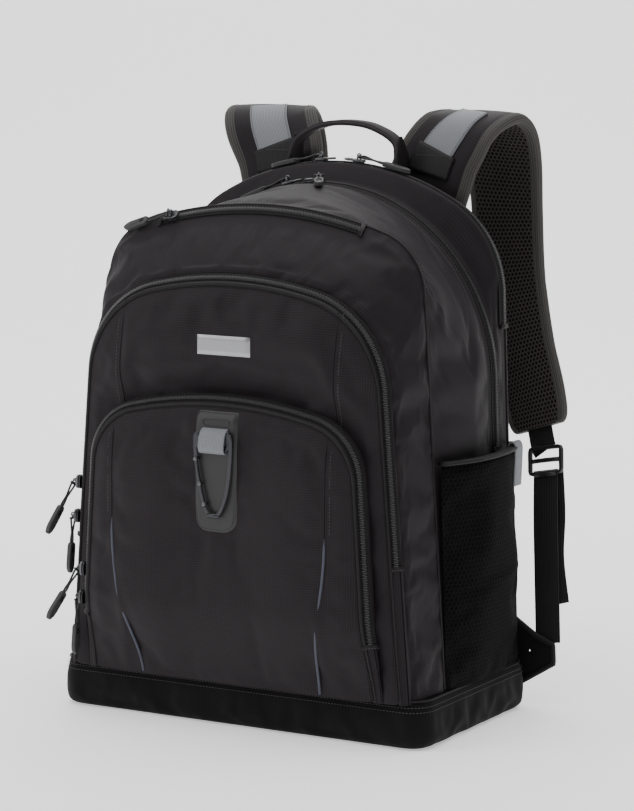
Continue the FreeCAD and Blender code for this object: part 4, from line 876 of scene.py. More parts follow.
def make_pockets():
    """The two front pockets: gussets, welts, seams, stitching and piping."""
    upper_gusset, upper_welt = make_pocket_walls("upper_pocket", UPPER_RIM, UPPER_FACE, -98 * MM)
    settle(upper_gusset, "bag", "ripstop")
    settle(upper_welt, "bag", "ripstop")
    lower_gusset, lower_welt = make_pocket_walls("lower_pocket", LOWER_RIM, LOWER_FACE, -116 * MM)
    settle(lower_gusset, "bag", "ripstop", "lower_pocket_shell")

    def on_flap(piece, slot, *nodes):
        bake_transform(piece)
        return declare(piece, slot, *nodes)

    def on_bag(piece, slot):
        return settle(piece, "bag", slot)

    on_flap(lower_welt, "ripstop")
    make_face_seams("upper", UPPER_FACE, upper_surface, 3.0 * MM, 44 * MM, on_bag)
    make_face_seams("lower", LOWER_FACE, lower_surface, 4.0 * MM, BOOT_TOP, on_flap)
    for side in (-1, 1):
        name = side_name(side)
        x = side * PANEL_SEAM_X
        stitch_x = x + side * 4.5 * MM
        upper_line = on_surface(upper_surface, line_between((x, 250 * MM), (x, 372 * MM)))
        settle(seam_line(f"upper_panel_seam_{name}", upper_line, 0.6 * MM), "bag", "piping")
        outside = on_surface(upper_surface, line_between((stitch_x, 250 * MM), (stitch_x, 370 * MM)))
        settle(stitch_row(f"upper_panel_stitches_{name}", outside), "bag", "piping")
        high_line = on_surface(lower_surface, line_between((x, PIPING_TOP), (x, 268 * MM)))
        on_flap(seam_line(f"lower_panel_seam_{name}", high_line, 0.6 * MM), "piping")
        curve = [(mix(x, side * 90 * MM, smooth(i / 30) ** 1.3), mix(PIPING_TOP, BOOT_TOP, i / 30))
                 for i in range(31)]
        piping_path = on_surface(lower_surface, curve)
        piping = sweep(f"piping_{name}", piping_path, circle(1.25 * MM, 10), PIPING, pitch=4 * MM,
                       scales=piping_taper(piping_path, 4 * MM))
        on_flap(piping, "piping", *(("piping_upper", "piping_lower") if side > 0 else ()))
        shadow = on_surface(lower_surface, [(px + side * 2.0 * MM, pz) for px, pz in curve])
        on_flap(stitch_row(f"piping_stitches_{name}", shadow, material=DARK_THREAD), "piping")
        outside = on_surface(lower_surface, line_between((stitch_x, PIPING_TOP + 4 * MM),
                                                         (stitch_x, 264 * MM)))
        on_flap(stitch_row(f"lower_panel_stitches_{name}", outside), "piping")
    return on_flap


def piping_taper(path, pitch):
    """The piping comes to a point at its top end."""
    count = len(walk(path, pitch))
    return [(smooth((i + 0.15) / 3), smooth((i + 0.15) / 3)) for i in range(count)]


def make_faces():
    """The faces of both pockets and the padded back, which settle as cloth."""
    upper, upper_rim = face_panel("upper_pocket_face", UPPER_FACE, BOOT_TOP - 2 * MM, upper_surface)
    relax(upper, upper_rim | seam_points(upper) | badge_points(upper), 3.5 * MM, -0.02, 1.5)
    lower, lower_rim = face_panel("lower_pocket_face", LOWER_FACE, BOOT_TOP - 2 * MM, lower_surface)
    relax(lower, lower_rim | seam_points(lower) | patch_points(lower), 3.0 * MM, -0.02, 1.2)
    back, back_rim = face_panel("back_panel", PAD, PAD.floor, back_surface, 6 * MM, SPACER, back=True)
    relax(back, back_rim, 2.0 * MM, -0.015, 1.0)
    return upper, lower, back


def seam_points(piece):
    """The strips of a face beside its two panel seams."""
    return {v.index for v in piece.data.vertices if abs(abs(v.co.x) - PANEL_SEAM_X - 2 * MM) < 6 * MM}


def badge_points(piece):
    """Where the badge holds the face still."""
    return {v.index for v in piece.data.vertices
            if abs(v.co.x) < 31 * MM and 324 * MM < v.co.z < 352 * MM}


def patch_points(piece):
    """Where the clip's patch holds the face still."""
    return {v.index for v in piece.data.vertices if abs(v.co.x) < 24 * MM and v.co.z > 172 * MM}


# ---------------------------------------------------------------- base
def rounded_plan(half, front, back, corner, count=12):
    """(point, normal) pairs round a rounded rectangle on the floor, counted from behind."""
    pairs = []
    centres = ((half - corner, back - corner, 0), (-half + corner, back - corner, 1),
               (-half + corner, front + corner, 2), (half - corner, front + corner, 3))
    start = Vector((0, back, 0))
    for x, y, quarter in centres:
        for step in range(count + 1):
            angle = math.pi / 2 * (quarter + step / count)
            normal = Vector((math.cos(angle), math.sin(angle), 0))
            pairs.append((Vector((x, y, 0)) + normal * corner, normal))
    turned = pairs[count:] + pairs[:count]
    return [(start, Vector((0, 1, 0)))] + turned + [(start, Vector((0, 1, 0)))]


def make_boot():
    plan = [(p, n) for p, _, n in walk(rounded_plan(BOOT_HALF, BOOT_FRONT, BOOT_BACK, BOOT_CORNER), 5 * MM)]
    profile = ((0, 14), (0.2, 9), (1.4, 4.2), (4.2, 1.3), (8.5, 0.2), (13, -0.4), (18, -0.6), (23, -0.5),
               (28, 0), (33, 0.6), (38, 1.6), (42, 2.6), (43.2, 4.4))
    rows = [[p - n * inset * MM + UP * height * MM for p, n in plan] for height, inset in profile]
    band = skin("boot_band", rows, BOOT_FABRIC)
    columns = len(plan)
    pins = {r * columns + c for r in range(len(rows)) for c in range(columns)
            if r < 3 or profile[r][0] > 32 or c in (0, columns - 1)}
    relax(band, pins, 3.2 * MM, -0.03, 1.5)
    floor_rows = [[p - n * 13.5 * MM + UP * 0.3 * MM for p, n in plan],
                  [(p - n * 13.5 * MM) * 0.02 + UP * 0.3 * MM for p, n in plan]]
    sole = skin("boot_sole", floor_rows, BOOT_FABRIC)
    settle(sole, "bag", "ripstop")
    for index, (height, inset) in enumerate(((37.6, 0.9), (33.4, 0.2))):
        row = [(p - n * inset * MM + UP * height * MM, n) for p, n in plan]
        settle(stitch_row(f"boot_stitches_{index}", row, lift=0.5 * MM), "bag", "ripstop")
    top = [(p - n * 2.4 * MM + UP * 42.6 * MM, n) for p, n in plan]
    settle(seam_line("boot_seam", top, 1.0 * MM, WELT), "bag", "ripstop")
    return band


# ---------------------------------------------------------------- bottle pockets
POCKET_FRONT, POCKET_BACK = -56 * MM, 82 * MM
POCKET_FLOOR, POCKET_TOP = 43 * MM, 239 * MM
MID = Arch("mid")


def pocket_point(side, across, z):
    """A point on a bottle pocket; across runs from -1 at its front edge to 1 at its rear."""
    wall_x = MID.side(z) + 0.5 * MM
    rise = (z - POCKET_FLOOR) / (POCKET_TOP - POCKET_FLOOR)
    if rise < 0.46:
        reach = mix(187.0, 196.5, smooth(rise * 2.2)) * MM
    else:
        reach = mix(196.5, 192.5, smooth(rise)) * MM
    bow = (1 - abs(across) ** 2.4)
    y = mix(POCKET_FRONT, POCKET_BACK, (across + 1) / 2)
    return Vector((side * (wall_x + (reach - wall_x) * bow), y, z))


def make_bottle_pocket(side):
    name = side_name(side)
    last_row, last_column = 44, 30
    shares = [side * (c / 15 - 1) for c in range(last_column + 1)]
    rows = []
    for r in range(last_row + 1):
        z = mix(POCKET_FLOOR, POCKET_TOP, r / last_row)
        rows.append([pocket_point(side, share, z) for share in shares])
    mesh = skin(f"bottle_mesh_{name}", rows, POCKET_MESH)
    pins = {r * (last_column + 1) + c for r in range(last_row + 1) for c in range(last_column + 1)
            if r in (0, last_row) or c in (0, last_column)}
    relax(mesh, pins, 4.0 * MM, -0.03, 1.0)
    out = Vector((side, 0, 0))
    rim = [(pocket_point(side, share, POCKET_TOP + 1 * MM), out) for share in shares]
    binding = sweep(f"bottle_binding_{name}", rim, rounded(3.0 * MM, 9 * MM, 1.3 * MM), DARK_WEBBING)
    return mesh, binding


def make_pocket_tab(side):
    """A folded grey webbing tab over the pocket's binding."""
    name = side_name(side)
    out = Vector((side, 0, 0.0))
    centre = pocket_point(side, 0.70, 236 * MM)
    heights = ((206, 2.4), (214, 2.8), (224, 3.2), (234, 3.6), (240, 3.6), (243.6, 2.4), (244.8, 0.2),
               (243.2, -2.4), (238, -3.4), (230, -3.6))
    path = []
    for z, push in heights:
        lean = out * (push + 1.6) * MM
        path.append((Vector((centre.x, centre.y, z * MM)) + lean, out))
    path = smooth_path(path, out.cross(UP), 4)
    return sweep(f"pocket_tab_{name}", path, rounded(14 * MM, 1.7 * MM, 0.7 * MM), GREY_WEBBING)


def smooth_path(path, across, steps):
    """A rounder path through (point, anything) pairs, with its normals square to across."""
    points = [p for p, _ in path]
    full = []
    for index in range(len(points) - 1):
        before, a = points[max(index - 1, 0)], points[index]
        b, after = points[index + 1], points[min(index + 2, len(points) - 1)]
        for step in range(steps):
            full.append(spline(before, a, b, after, step / steps))
    full.append(points[-1])
    pairs = []
    for point, tangent, _ in tangents([(p, UP) for p in full]):
        pairs.append((point, tangent.cross(across).normalized()))
    return pairs


# ---------------------------------------------------------------- shoulder straps
# The middle line of the right strap, millimetres: x, y, z, width, forward turn of its outer edge.
STRAP_LINE = (
    (68.0, 103.5, 440.0, 84.0, 0.0), (76.0, 106.0, 466.0, 86.0, 1.0), (84.0, 112.0, 490.0, 86.0, 3.0),
    (98.0, 122.0, 512.0, 87.0, 8.0), (108.0, 137.0, 522.0, 87.0, 11.0), (112.0, 152.0, 522.0, 86.0, 11.0),
    (114.0, 168.0, 509.0, 84.0, 9.0), (114.0, 180.0, 482.0, 80.0, 7.0), (114.0, 187.0, 432.0, 75.0, 5.0),
    (120.0, 186.0, 372.0, 70.0, 5.0), (135.0, 177.0, 315.0, 67.0, 5.0), (152.0, 168.0, 272.0, 64.0, 5.0),
    (162.0, 161.0, 242.0, 60.0, 5.0),
)
STRAP_DEPTH = 10 * MM
STRAP_BASE = 80 * MM
BINDING_WIDTH = 9 * MM
LOCK_AT = Vector((172, 153, 214)) * MM
WING_AT = Vector((198, 107, 70)) * MM
BLEND_START = Vector((70, 103, 446)) * MM
BLEND_END = Vector((84, 112, 486)) * MM


def strap_stations(side):
    """Smooth (point, normal) pairs down a strap with its width scale at each."""
    line = [Vector(row[:3]) * MM for row in STRAP_LINE]
    path, widths = [], []
    steps = 9
    for index in range(len(line) - 1):
        before, a = line[max(index - 1, 0)], line[index]
        b, after = line[index + 1], line[min(index + 2, len(line) - 1)]
        for step in range(steps + (index == len(line) - 2)):
            t = step / steps
            point = spline(before, a, b, after, t)
            path.append((point, mix(STRAP_LINE[index][4], STRAP_LINE[index + 1][4], t)))
            widths.append(mix(STRAP_LINE[index][3], STRAP_LINE[index + 1][3], t) * MM / STRAP_BASE)
    pairs = []
    for point, tangent, turn in tangents(path):
        angle = math.radians(turn)
        across = Vector((math.cos(angle), -math.sin(angle), 0))
        normal = across.cross(tangent).normalized()
        pairs.append((flipped(point, side), flipped(normal, side)))
    return pairs, widths


def strap_profile():
    """A padded strap's section with its material numbers: cover 0, binding 1, mesh underside 2."""
    half, r = STRAP_BASE / 2, STRAP_DEPTH / 2
    tape = BINDING_WIDTH
    points, slots = [], []

    def add(x, up, slot):
        points.append((x, up))
        slots.append(slot)
    for step in range(4):
        angle = math.pi / 2 * step / 4
        add(half - r + r * math.cos(angle), r * math.sin(angle), 1)
    add(half - r, r, 1)
    add(half - tape + 0.3 * MM, r + 0.1 * MM, 1)
    for step in range(11):
        x = (half - tape) * (1 - step / 5)
        add(x, r - 0.5 * MM + 1.9 * MM * (1 - (x / half) ** 2), 0 if step < 10 else 1)
    add(-half + tape - 0.3 * MM, r + 0.1 * MM, 1)
    add(-half + r, r, 1)
    for step in range(1, 8):
        angle = math.pi / 2 + math.pi * step / 8
        add(-half + r + r * math.cos(angle), r * math.sin(angle), 1)
    add(-half + r, -r, 1)
    add(-half + tape - 0.3 * MM, -r - 0.1 * MM, 1)
    for step in range(11):
        x = -(half - tape) * (1 - step / 5)
        add(x, -r + 0.5 * MM - 1.6 * MM * (1 - (x / half) ** 2), 2 if step < 10 else 1)
    add(half - tape + 0.3 * MM, -r - 0.1 * MM, 1)
    for step in range(4):
        angle = -math.pi / 2 + math.pi / 2 * step / 4
        add(half - r + r * math.cos(angle), r * math.sin(angle), 1)
    return points, slots


def strap_offset(pairs, widths, across, up):
    """A line along the strap at a share of its half width, off its middle surface."""
    line = []
    for (point, tangent, normal), wide in zip(tangents(pairs), widths):
        side = normal.cross(tangent).normalized()
        line.append((point + side * across * STRAP_BASE / 2 * wide + normal * up,
                     normal if up > 0 else -normal))
    return line


def make_strap(side):
    name = side_name(side)
    start, end = flipped(BLEND_START, side), flipped(BLEND_END, side)

    def on_strap(piece, slot, *nodes):
        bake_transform(piece)
        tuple(start)
        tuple(end)
        return declare(piece, slot, *nodes)

    pairs, widths = strap_stations(side)
    count = len(pairs)
    profile, slots = strap_profile()
    scales = []
    for index, wide in enumerate(widths):
        left = count - 1 - index
        ending = math.sqrt(1 - (1 - (left + 0.6) / 6) ** 2) if left < 6 else 1.0
        quilt = 1 - 0.16 * sum(math.exp(-((pairs[index][0].z - z * MM) / (4 * MM)) ** 2) for z in (365, 300)
                               if index > count / 2)
        scales.append((wide * mix(0.72, 1.0, ending), mix(0.55, 1.0, ending) * quilt))
    strap = sweep(f"strap_pad_{name}", pairs, profile, [FABRIC, BINDING, SPACER], scales=scales,
                  face_slots=slots)
    on_strap(strap, "ripstop", f"shoulder_strap_{name}", *(("strap_yokes",) if side > 0 else ()))
    inner = slice(2, count - 5)
    for edge in (-1, 1):
        for up, label in ((5.3 * MM, "cover"), (-5.3 * MM, "under")):
            line = strap_offset(pairs, widths, edge * 0.83, up)[inner]
            row = stitch_row(f"strap_stitches_{label}_{name}_{edge + 1}", line, 3.4 * MM, 2.2 * MM, lift=0)
            on_strap(row, "ripstop")
    first, last = 16, 37
    loop_line = strap_offset(pairs, widths, 0.02, 7.0 * MM)[first:last]
    loop = sweep(f"gear_loop_webbing_{name}", loop_line, rounded(35 * MM, 2.0 * MM, 0.9 * MM), GREY_WEBBING)
    on_strap(loop, "grey_webbing", f"gear_loop_{name}")
    for edge in (-1, 1):
        line = strap_offset(pairs, widths, 0.02 + edge * 0.37, 8.05 * MM)[first:last]
        row = stitch_row(f"gear_loop_stitches_{name}_{edge + 1}", line, 2.6 * MM, 1.6 * MM)
        on_strap(row, "grey_webbing")
    foot = strap_offset(pairs, widths, 0.02, 7.4 * MM)[first - 5:first + 4]
    fold = sweep(f"gear_loop_fold_{name}", foot, rounded(42 * MM, 3.0 * MM, 1.2 * MM), DARK_WEBBING)
    on_strap(fold, "dark_webbing")
    point, normal = strap_offset(pairs, widths, 0, 9.1 * MM)[first + 1]
    ends = [(point + Vector((x, 0, 0)) * MM, normal) for x in (-17, 17)]
    on_strap(stitch_row(f"gear_loop_bar_{name}", ends, 2.6 * MM, 1.7 * MM), "dark_webbing")
    make_strap_webbing(side, name)
    make_wing(side, name)


def band_between(name, points, across, width, depth, material):
    """A flat band through points, level with across."""
    path = smooth_path([(p, UP) for p in points], across, 6)
    return sweep(name, path, rounded(width, depth, depth * 0.45), material)


def make_strap_webbing(side, name):
    """The webbing between the strap's end, the ladder lock and the wing, with its loose tail.
    Its foot is sewn into the wing."""
    body = f"strap_{name}"
    strap_end = Vector((162, 161, 242)) * MM
    down = (WING_AT - LOCK_AT).normalized()
    angle = math.radians(5)
    level = Vector((math.cos(angle), -math.sin(angle), 0))
    across = (level - down * level.dot(down)).normalized()
    out = across.cross(down) * -1
    width, depth = 25 * MM, 1.6 * MM
    tab = [strap_end - (LOCK_AT - strap_end) * 0.25, strap_end.lerp(LOCK_AT, 0.5), LOCK_AT - down * 9 * MM]
    main = [LOCK_AT + down * 9 * MM, LOCK_AT.lerp(WING_AT, 0.35) + out * 1.5 * MM,
            LOCK_AT.lerp(WING_AT, 0.7) + out * 0.8 * MM, WING_AT, WING_AT + down * 14 * MM]
    tail_start = LOCK_AT + down * 10 * MM - out * 5.0 * MM + across * 3 * MM
    tail = [tail_start, tail_start + down * 40 * MM - out * 2.5 * MM,
            tail_start + down * 80 * MM + out * 1 * MM, tail_start + down * 122 * MM + across * 4 * MM]
    side_across = Vector((across.x * side, across.y, across.z)) * side
    for label, points in (("tab", tab), ("run", main), ("tail", tail)):
        line = [flipped(p, side) for p in points]
        band = band_between(f"strap_{label}_{name}", line, side_across, width, depth, DARK_WEBBING)
        if label == "run":
            low, high = WING_AT - down * 6 * MM, LOCK_AT + down * 30 * MM
            flipped(low, side)
            flipped(high, side)
            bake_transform(band)
            declare(band, "dark_webbing", f"strap_webbing_{name}")
        else:
            settle(band, body, "dark_webbing")
    lock = ladder_lock(f"ladder_lock_frame_{name}")
    turn = Matrix((across, -down, across.cross(-down))).transposed().to_4x4()
    place(lock, Matrix.Translation(LOCK_AT) @ turn)
    if side < 0:
        lock.data.transform(Matrix.Scale(-1, 4, Vector((1, 0, 0))))
        lock.data.flip_normals()
    settle(lock, body, "black_plastic", f"ladder_lock_{name}")


def ladder_lock(name):
    """A two-bar plastic buckle with softly arched bars, in its own plane."""
    quarter = ((16, 9), (15.3, 11.2), (13, 11.8))
    half = quarter + ((0, 11.8),) + tuple((-x, y) for x, y in reversed(quarter)) + ((-16, 0),)
    outline = half + tuple((-x, -y) for x, y in half)
    frame_path = [(Vector((x * MM, y * MM, 0)), UP) for x, y in outline]
    ring = sweep(name, frame_path, rounded(3.8 * MM, 4.4 * MM, 1.3 * MM), PLASTIC, closed=True)
    arched = ((-15, 0), (-8, 0.9), (0, 1.2), (8, 0.9), (15, 0))
    bar_path = [(Vector((x * MM, 0, lift * MM)), UP) for x, lift in arched]
    bar = sweep(f"{name}_bar", bar_path, rounded(4.2 * MM, 3.6 * MM, 1.2 * MM), PLASTIC)
    lip = sweep(f"{name}_lip", [(Vector((x * MM, -13.4 * MM, 1.6 * MM)), UP) for x in (-11, 0, 11)],
                rounded(3.4 * MM, 2.2 * MM, 0.9 * MM), PLASTIC)
    return join(name, [ring, bar, lip])


def make_wing(side, name):
    """The sewn triangle that holds the webbing's lower end, with bound edges."""
    corners = [(163, 12), (208, 40), (207, 57), (190, 64), (163, 82)]
    y = 99.2 * MM
    border = []
    for index, (x, z) in enumerate(corners):
        nx, nz = corners[(index + 1) % len(corners)]
        for step in range(8):
            border.append(Vector((side * mix(x, nx, step / 8) * MM, y, mix(z, nz, step / 8) * MM)))
    centre = Vector((side * 184 * MM, y, 50 * MM))
    rings = [[centre.lerp(p, share) + Vector((0, swell * MM, 0)) for p in border]
             for share, swell in ((0.05, 1.6), (0.4, 1.6), (0.75, 1.3), (0.95, 0.6), (1.0, 0.0),
                                  (0.95, -0.6), (0.4, -1.0), (0.05, -1.0))]
    count = len(border)
    points = [p for ring in rings for p in ring]
    faces = [(r * count + i, r * count + (i + 1) % count, (r + 1) * count + (i + 1) % count,
              (r + 1) * count + i) for r in range(len(rings) - 1) for i in range(count)]
    wing = mesh_piece(f"strap_wing_{name}", points, faces, BOOT_FABRIC, [(p.x, p.z) for p in points])
    settle(wing, "bag", "ripstop", *(("strap_wings",) if side > 0 else ()))
    edge = [(p, Vector((0, 1, 0))) for p in border]
    trim = sweep(f"strap_wing_trim_{name}", edge, rounded(4.5 * MM, 3.4 * MM, 1.2 * MM), DARK_WEBBING,
                 closed=True)
    settle(trim, "bag", "dark_webbing")


# ---------------------------------------------------------------- haul handle
def make_handle():
    """The haul handle: ribbed webbing that flattens towards its feet."""
    y = 92.0
    side_line = ((-59, 466, y + 1), (-57, 474, y), (-55.5, 483, y), (-54.5, 492, y), (-52, 500, y),
                 (-45, 506.5, y), (-34, 512, y), (-20, 516.4, y))
    line = list(side_line) + [(0, 518, y)] + [(-x, z, d) for x, z, d in reversed(side_line)]
    path = smooth_path([(Vector((x, d, z)) * MM, UP) for x, z, d in line], Vector((0, 1, 0)), 4)
    path = [(p, n if n.dot(p - Vector((0, y * MM, 440 * MM))) > 0 else -n) for p, n in path]
    scales = []
    for point, _ in path:
        flat = smooth((505 * MM - point.z) / (22 * MM))
        scales.append((mix(1.0, 1.9, flat), mix(1.0, 0.55, flat)))
    ribs = 6
    profile = []
    width, depth = 13.5 * MM, 4.6 * MM
    for index in range(ribs * 4 + 1):
        share = index / (ribs * 4)
        profile.append((width * (0.5 - share), depth / 2 + 0.3 * MM * math.cos(share * ribs * math.tau)))
    for index in range(9):
        share = index / 8
        profile.append((width * (share - 0.5), -depth / 2))
    grip = sweep("haul_handle_webbing", path, profile, HANDLE_WEBBING, scales=scales)
    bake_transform(grip)
    declare(grip, "dark_webbing", "haul_handle", "handle_anchors")
    for side in (-1, 1):
        make_handle_end(side, y)


def make_handle_end(side, y):
    """The stitched side of the handle's foot and the piece of webbing sewn to the bag."""
    name = side_name(side)
    foot = 473
    corners = ((-10, foot), (10, foot), (11, 490), (2, 507), (-3, 507), (-11, 490))
    outline = []
    for dy, z in corners:
        x = 58.1 - (z - foot) * 0.09
        outline.append(Vector((side * x, y + dy, z)) * MM)
    points = outline + [p - Vector((side * 1.4 * MM, 0, 0)) for p in outline]
    count = len(outline)
    faces = [tuple(range(count)), tuple(range(2 * count - 1, count - 1, -1))]
    faces += [(i, i + count, (i + 1) % count + count, (i + 1) % count) for i in range(count)]
    tab = mesh_piece(f"handle_tab_{name}", points, faces, WELT, [(p.y, p.z) for p in points],
                     smooth_faces=False)
    bevelled(tab, 0.6 * MM)
    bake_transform(tab)
    declare(tab, "dark_webbing")
    line = [(Vector((side * 57, y, z)) * MM, Vector((side, 0, 0))) for z in (464, 470, 477)]
    base = sweep(f"handle_base_{name}", line, rounded(27 * MM, 3.2 * MM, 1.2 * MM), DARK_WEBBING)
    settle(base, "bag", "dark_webbing")


# ---------------------------------------------------------------- sliders and pulls
BAIL_HEIGHT = 8.4 * MM
# slider: (outline, x at rest, side of its ring, degrees from its track to its pull, droop of the pull)
CROWN_SLIDERS = {
    "main_slider_right": ("mainzip", -6.0, -1, -60.0, -6.0),
    "main_slider_left": ("mainzip", -37.0, 1, 180.0, -11.0),
    "laptop_slider_right": ("back", 20.0, -1, 0.0, -9.0),
    "laptop_slider_left": ("back", -18.0, 1, 180.0, -9.0),
}
# slider: (outline, height at rest, degrees its pull hangs forward, degrees its pull is lifted)
SIDE_SLIDERS = {
    "upper_slider_top": ("upper_rim", 204.0, 28.0, 11.0),
    "upper_slider_bottom": ("upper_rim", 173.0, 0.0, 0.0),
    "lower_slider_top": ("lower_rim", 130.0, 32.0, 13.0),
    "lower_slider_bottom": ("lower_rim", 104.0, 0.0, 0.0),
}
QUICK_SLIDER_X = -88 * MM


def turned_about(vector, axis, degrees):
    return Matrix.Rotation(math.radians(degrees), 3, axis) @ vector


def axes_matrix(origin, x_axis, z_axis):
    y_axis = z_axis.cross(x_axis)
    turn = Matrix((x_axis, y_axis, z_axis)).transposed().to_4x4()
    return Matrix.Translation(origin) @ turn


def prism(name, outline, low, high, material, bevel):
    """A plate from an outline in millimetres, with softened edges."""
    count = len(outline)
    points = [Vector((x * MM, y * MM, z)) for z in (low, high) for x, y in outline]
    faces = [tuple(range(count - 1, -1, -1)), tuple(range(count, 2 * count))]
    faces += [(i, (i + 1) % count, (i + 1) % count + count, i + count) for i in range(count)]
    piece = mesh_piece(name, points, faces, material, [(p.x, p.y) for p in points], smooth_faces=False)
    return bevelled(piece, bevel)


def loop_path(radius_x, radius_y, count=28):
    turns = [math.tau * i / count for i in range(count)]
    return [(Vector((radius_x * math.cos(turn), radius_y * math.sin(turn), 0)), UP) for turn in turns]


def make_slider(label, surface, track, normal, reach_angle, ring_side=0):
    """A die-cast slider: shield-shaped body, arched bail and, if lockable, its oval ring."""
    outline = [(6.2, 1.8), (4.6, 3.6), (1.5, 4.2), (-2.5, 4.3), (-5.2, 3.4), (-6.2, 2.2)]
    outline += [(x, -y) for x, y in reversed(outline)]
    body = prism(f"{label}_body", outline, 3.0 * MM, 5.4 * MM, LIGHT_METAL, 0.5 * MM)
    lower = prism(f"{label}_sole", [(x * 0.96, y * 0.96) for x, y in outline], 1.0 * MM, 2.2 * MM, GUNMETAL,
                  0.3 * MM)
    post = prism(f"{label}_nose", [(5.4, 1.0), (5.4, -1.0), (2.0, -0.8), (2.0, 0.8)], 1.8 * MM, 3.4 * MM,
                 GUNMETAL, 0.2 * MM)
    arch = [(-3.2, 5.0), (-3.3, 6.6), (-2.7, 8.0), (-1.6, 8.5), (0, 8.6), (1.6, 8.5), (2.7, 8.0), (3.3, 6.6),
            (3.2, 5.0)]
    bail = sweep(f"{label}_bail", [(Vector((x * MM, 0, z * MM)), Vector((0, 1, 0))) for x, z in arch],
                 circle(0.75 * MM, 10), LIGHT_METAL)
    place(bail, Matrix.Rotation(math.radians(reach_angle + 90), 4, "Z"))
    parts = [body, lower, post, bail]
    if ring_side:
        ring = sweep(f"{label}_ring", loop_path(4.4 * MM, 3.7 * MM), circle(1.0 * MM, 10), LIGHT_METAL,
                     closed=True)
        place(ring, Matrix.Translation((ring_side * 9.4 * MM, 0, 4.3 * MM)))
        parts.append(ring)
    slider = join(f"{label}_metal", parts)
    place(slider, axes_matrix(surface, track, normal))
    settle(slider, label, "gunmetal", label)


def make_pull(label, pivot, reach, normal, droop):
    """A pull: wire eye and T bar, two strands of cord and a moulded grip with a window."""
    eye = sweep(f"{label}_eye", [(Vector((p.x, 0, p.y)), Vector((0, 1, 0))) for p, _ in
                                 loop_path(2.0 * MM, 1.9 * MM, 20)], circle(0.7 * MM, 8), LIGHT_METAL,
                closed=True)
    tee = sweep(f"{label}_tee", [(Vector((2.9 * MM, y * MM, 0)), UP) for y in (-4.2, -3.6, 0, 3.6, 4.2)],
                circle(1.15 * MM, 10), GUNMETAL)
    parts = [eye, tee]
    for side in (-1, 1):
        strand = [(2.4, 1.6, 0.2), (5, 1.9, 0.6), (10, 1.5, 0.3), (16, 1.3, -0.3), (22, 1.5, 0.1),
                  (27, 1.4, 0)]
        line = smooth_path([(Vector((x, side * y, side * z)) * MM, UP) for x, y, z in strand],
                           Vector((0, 1, 0)), 4)
        parts.append(sweep(f"{label}_strand_{side + 1}", line, circle(0.95 * MM, 8), CORD))
    start = 25.5
    outline = [(0, 2.6), (2.5, 4.0), (20, 4.3), (24, 3.6), (28, 1.3)]
    outline += [(x, -y) for x, y in reversed(outline)]
    grip = prism(f"{label}_grip", [(start + x, y) for x, y in outline], -2.1 * MM, 2.1 * MM, GRIP, 0.9 * MM)
    parts.append(grip)
    for face in (-1, 1):
        corners = [(start + 4, -1.5), (start + 9, -1.7), (start + 9, 1.7), (start + 4, 1.5)]
        middle = face * 2.15 * MM
        window = prism(f"{label}_window_{face + 1}", corners, middle - 0.1 * MM, middle + 0.1 * MM,
                       DARK_THREAD, 0.05 * MM)
        parts.append(window)
        for x in (12, 14.5, 17, 19.5):
            line = [(Vector((start + x, y, face * 2.05)) * MM, UP) for y in (-2.6, 0, 2.6)]
            parts.append(sweep(f"{label}_rib_{face + 1}_{x}", line, circle(0.45 * MM, 6), GRIP))
    pull = join(f"{label}_set", parts)
    turn = Matrix.Rotation(math.radians(droop), 3, reach.cross(normal))
    place(pull, axes_matrix(pivot, turn @ reach, turn @ normal))
    settle(pull, label, "pull", label)


def crown_point(arch, x):
    """The point and normal of an arch's crown above the angle whose arc spans x."""
    angle = math.asin(x / arch.crown)
    normal = Vector((math.sin(angle), 0, math.cos(angle)))
    return Vector((0, arch.y, arch.crown_z)) + normal * arch.crown, normal


def make_sliders():
    """Every slider with its pull: on the crowns, down the left side and on the quick-access zip."""
    for label, (outline, x, ring_side, reach_angle, droop) in CROWN_SLIDERS.items():
        point, normal = crown_point(Arch(outline), x * MM)
        track = Vector((normal.z, 0, -normal.x))
        make_slider(label, point, track, normal, reach_angle, ring_side)
        reach = turned_about(track, normal, reach_angle)
        make_pull(label.replace("slider", "pull"), point + normal * BAIL_HEIGHT, reach, normal, droop)
    for label, (outline, z, reach_angle, lift) in SIDE_SLIDERS.items():
        arch = Arch(outline)
        point = Vector((-arch.side(z * MM), arch.y, z * MM))
        normal = Vector((-math.cos(arch.lean), 0, math.sin(arch.lean)))
        down = Vector((-normal.z, 0, normal.x))
        make_slider(label, point, down, normal, reach_angle)
        reach = turned_about(down, normal, reach_angle)
        make_pull(label.replace("slider", "pull"), point + normal * BAIL_HEIGHT, reach, normal, lift)
    low, low_normal = crown_point(Arch("quick"), QUICK_SLIDER_X)
    high, _ = crown_point(Arch("edge"), QUICK_SLIDER_X)
    track = Vector((-low_normal.z, 0, low_normal.x))
    normal = (high - low).cross(track).normalized()
    make_slider("quick_slider", (low + high) / 2, track, normal, 0)
    make_pull("quick_pull", (low + high) / 2 + normal * BAIL_HEIGHT, track, normal, -7.0)


# ---------------------------------------------------------------- zips
def zip_hem(name, end, across, outward):
    """The stitched fold that closes a zip's end."""
    point, normal = end
    fold = [(point + across * reach * MM + outward * 1.0 * MM + normal * 0.9 * MM, normal)
            for reach in (-6.2, 0, 6.2)]
    bar = sweep(f"{name}_hem", fold, rounded(4.2 * MM, 1.5 * MM, 0.6 * MM), WELT)
    settle(bar, "bag", "ripstop")
    row = [(p + outward * 1.2 * MM + normal * 0.75 * MM, n) for p, n in fold]
    settle(stitch_row(f"{name}_end_stitches", row, 2.4 * MM, 1.5 * MM), "bag", "ripstop")


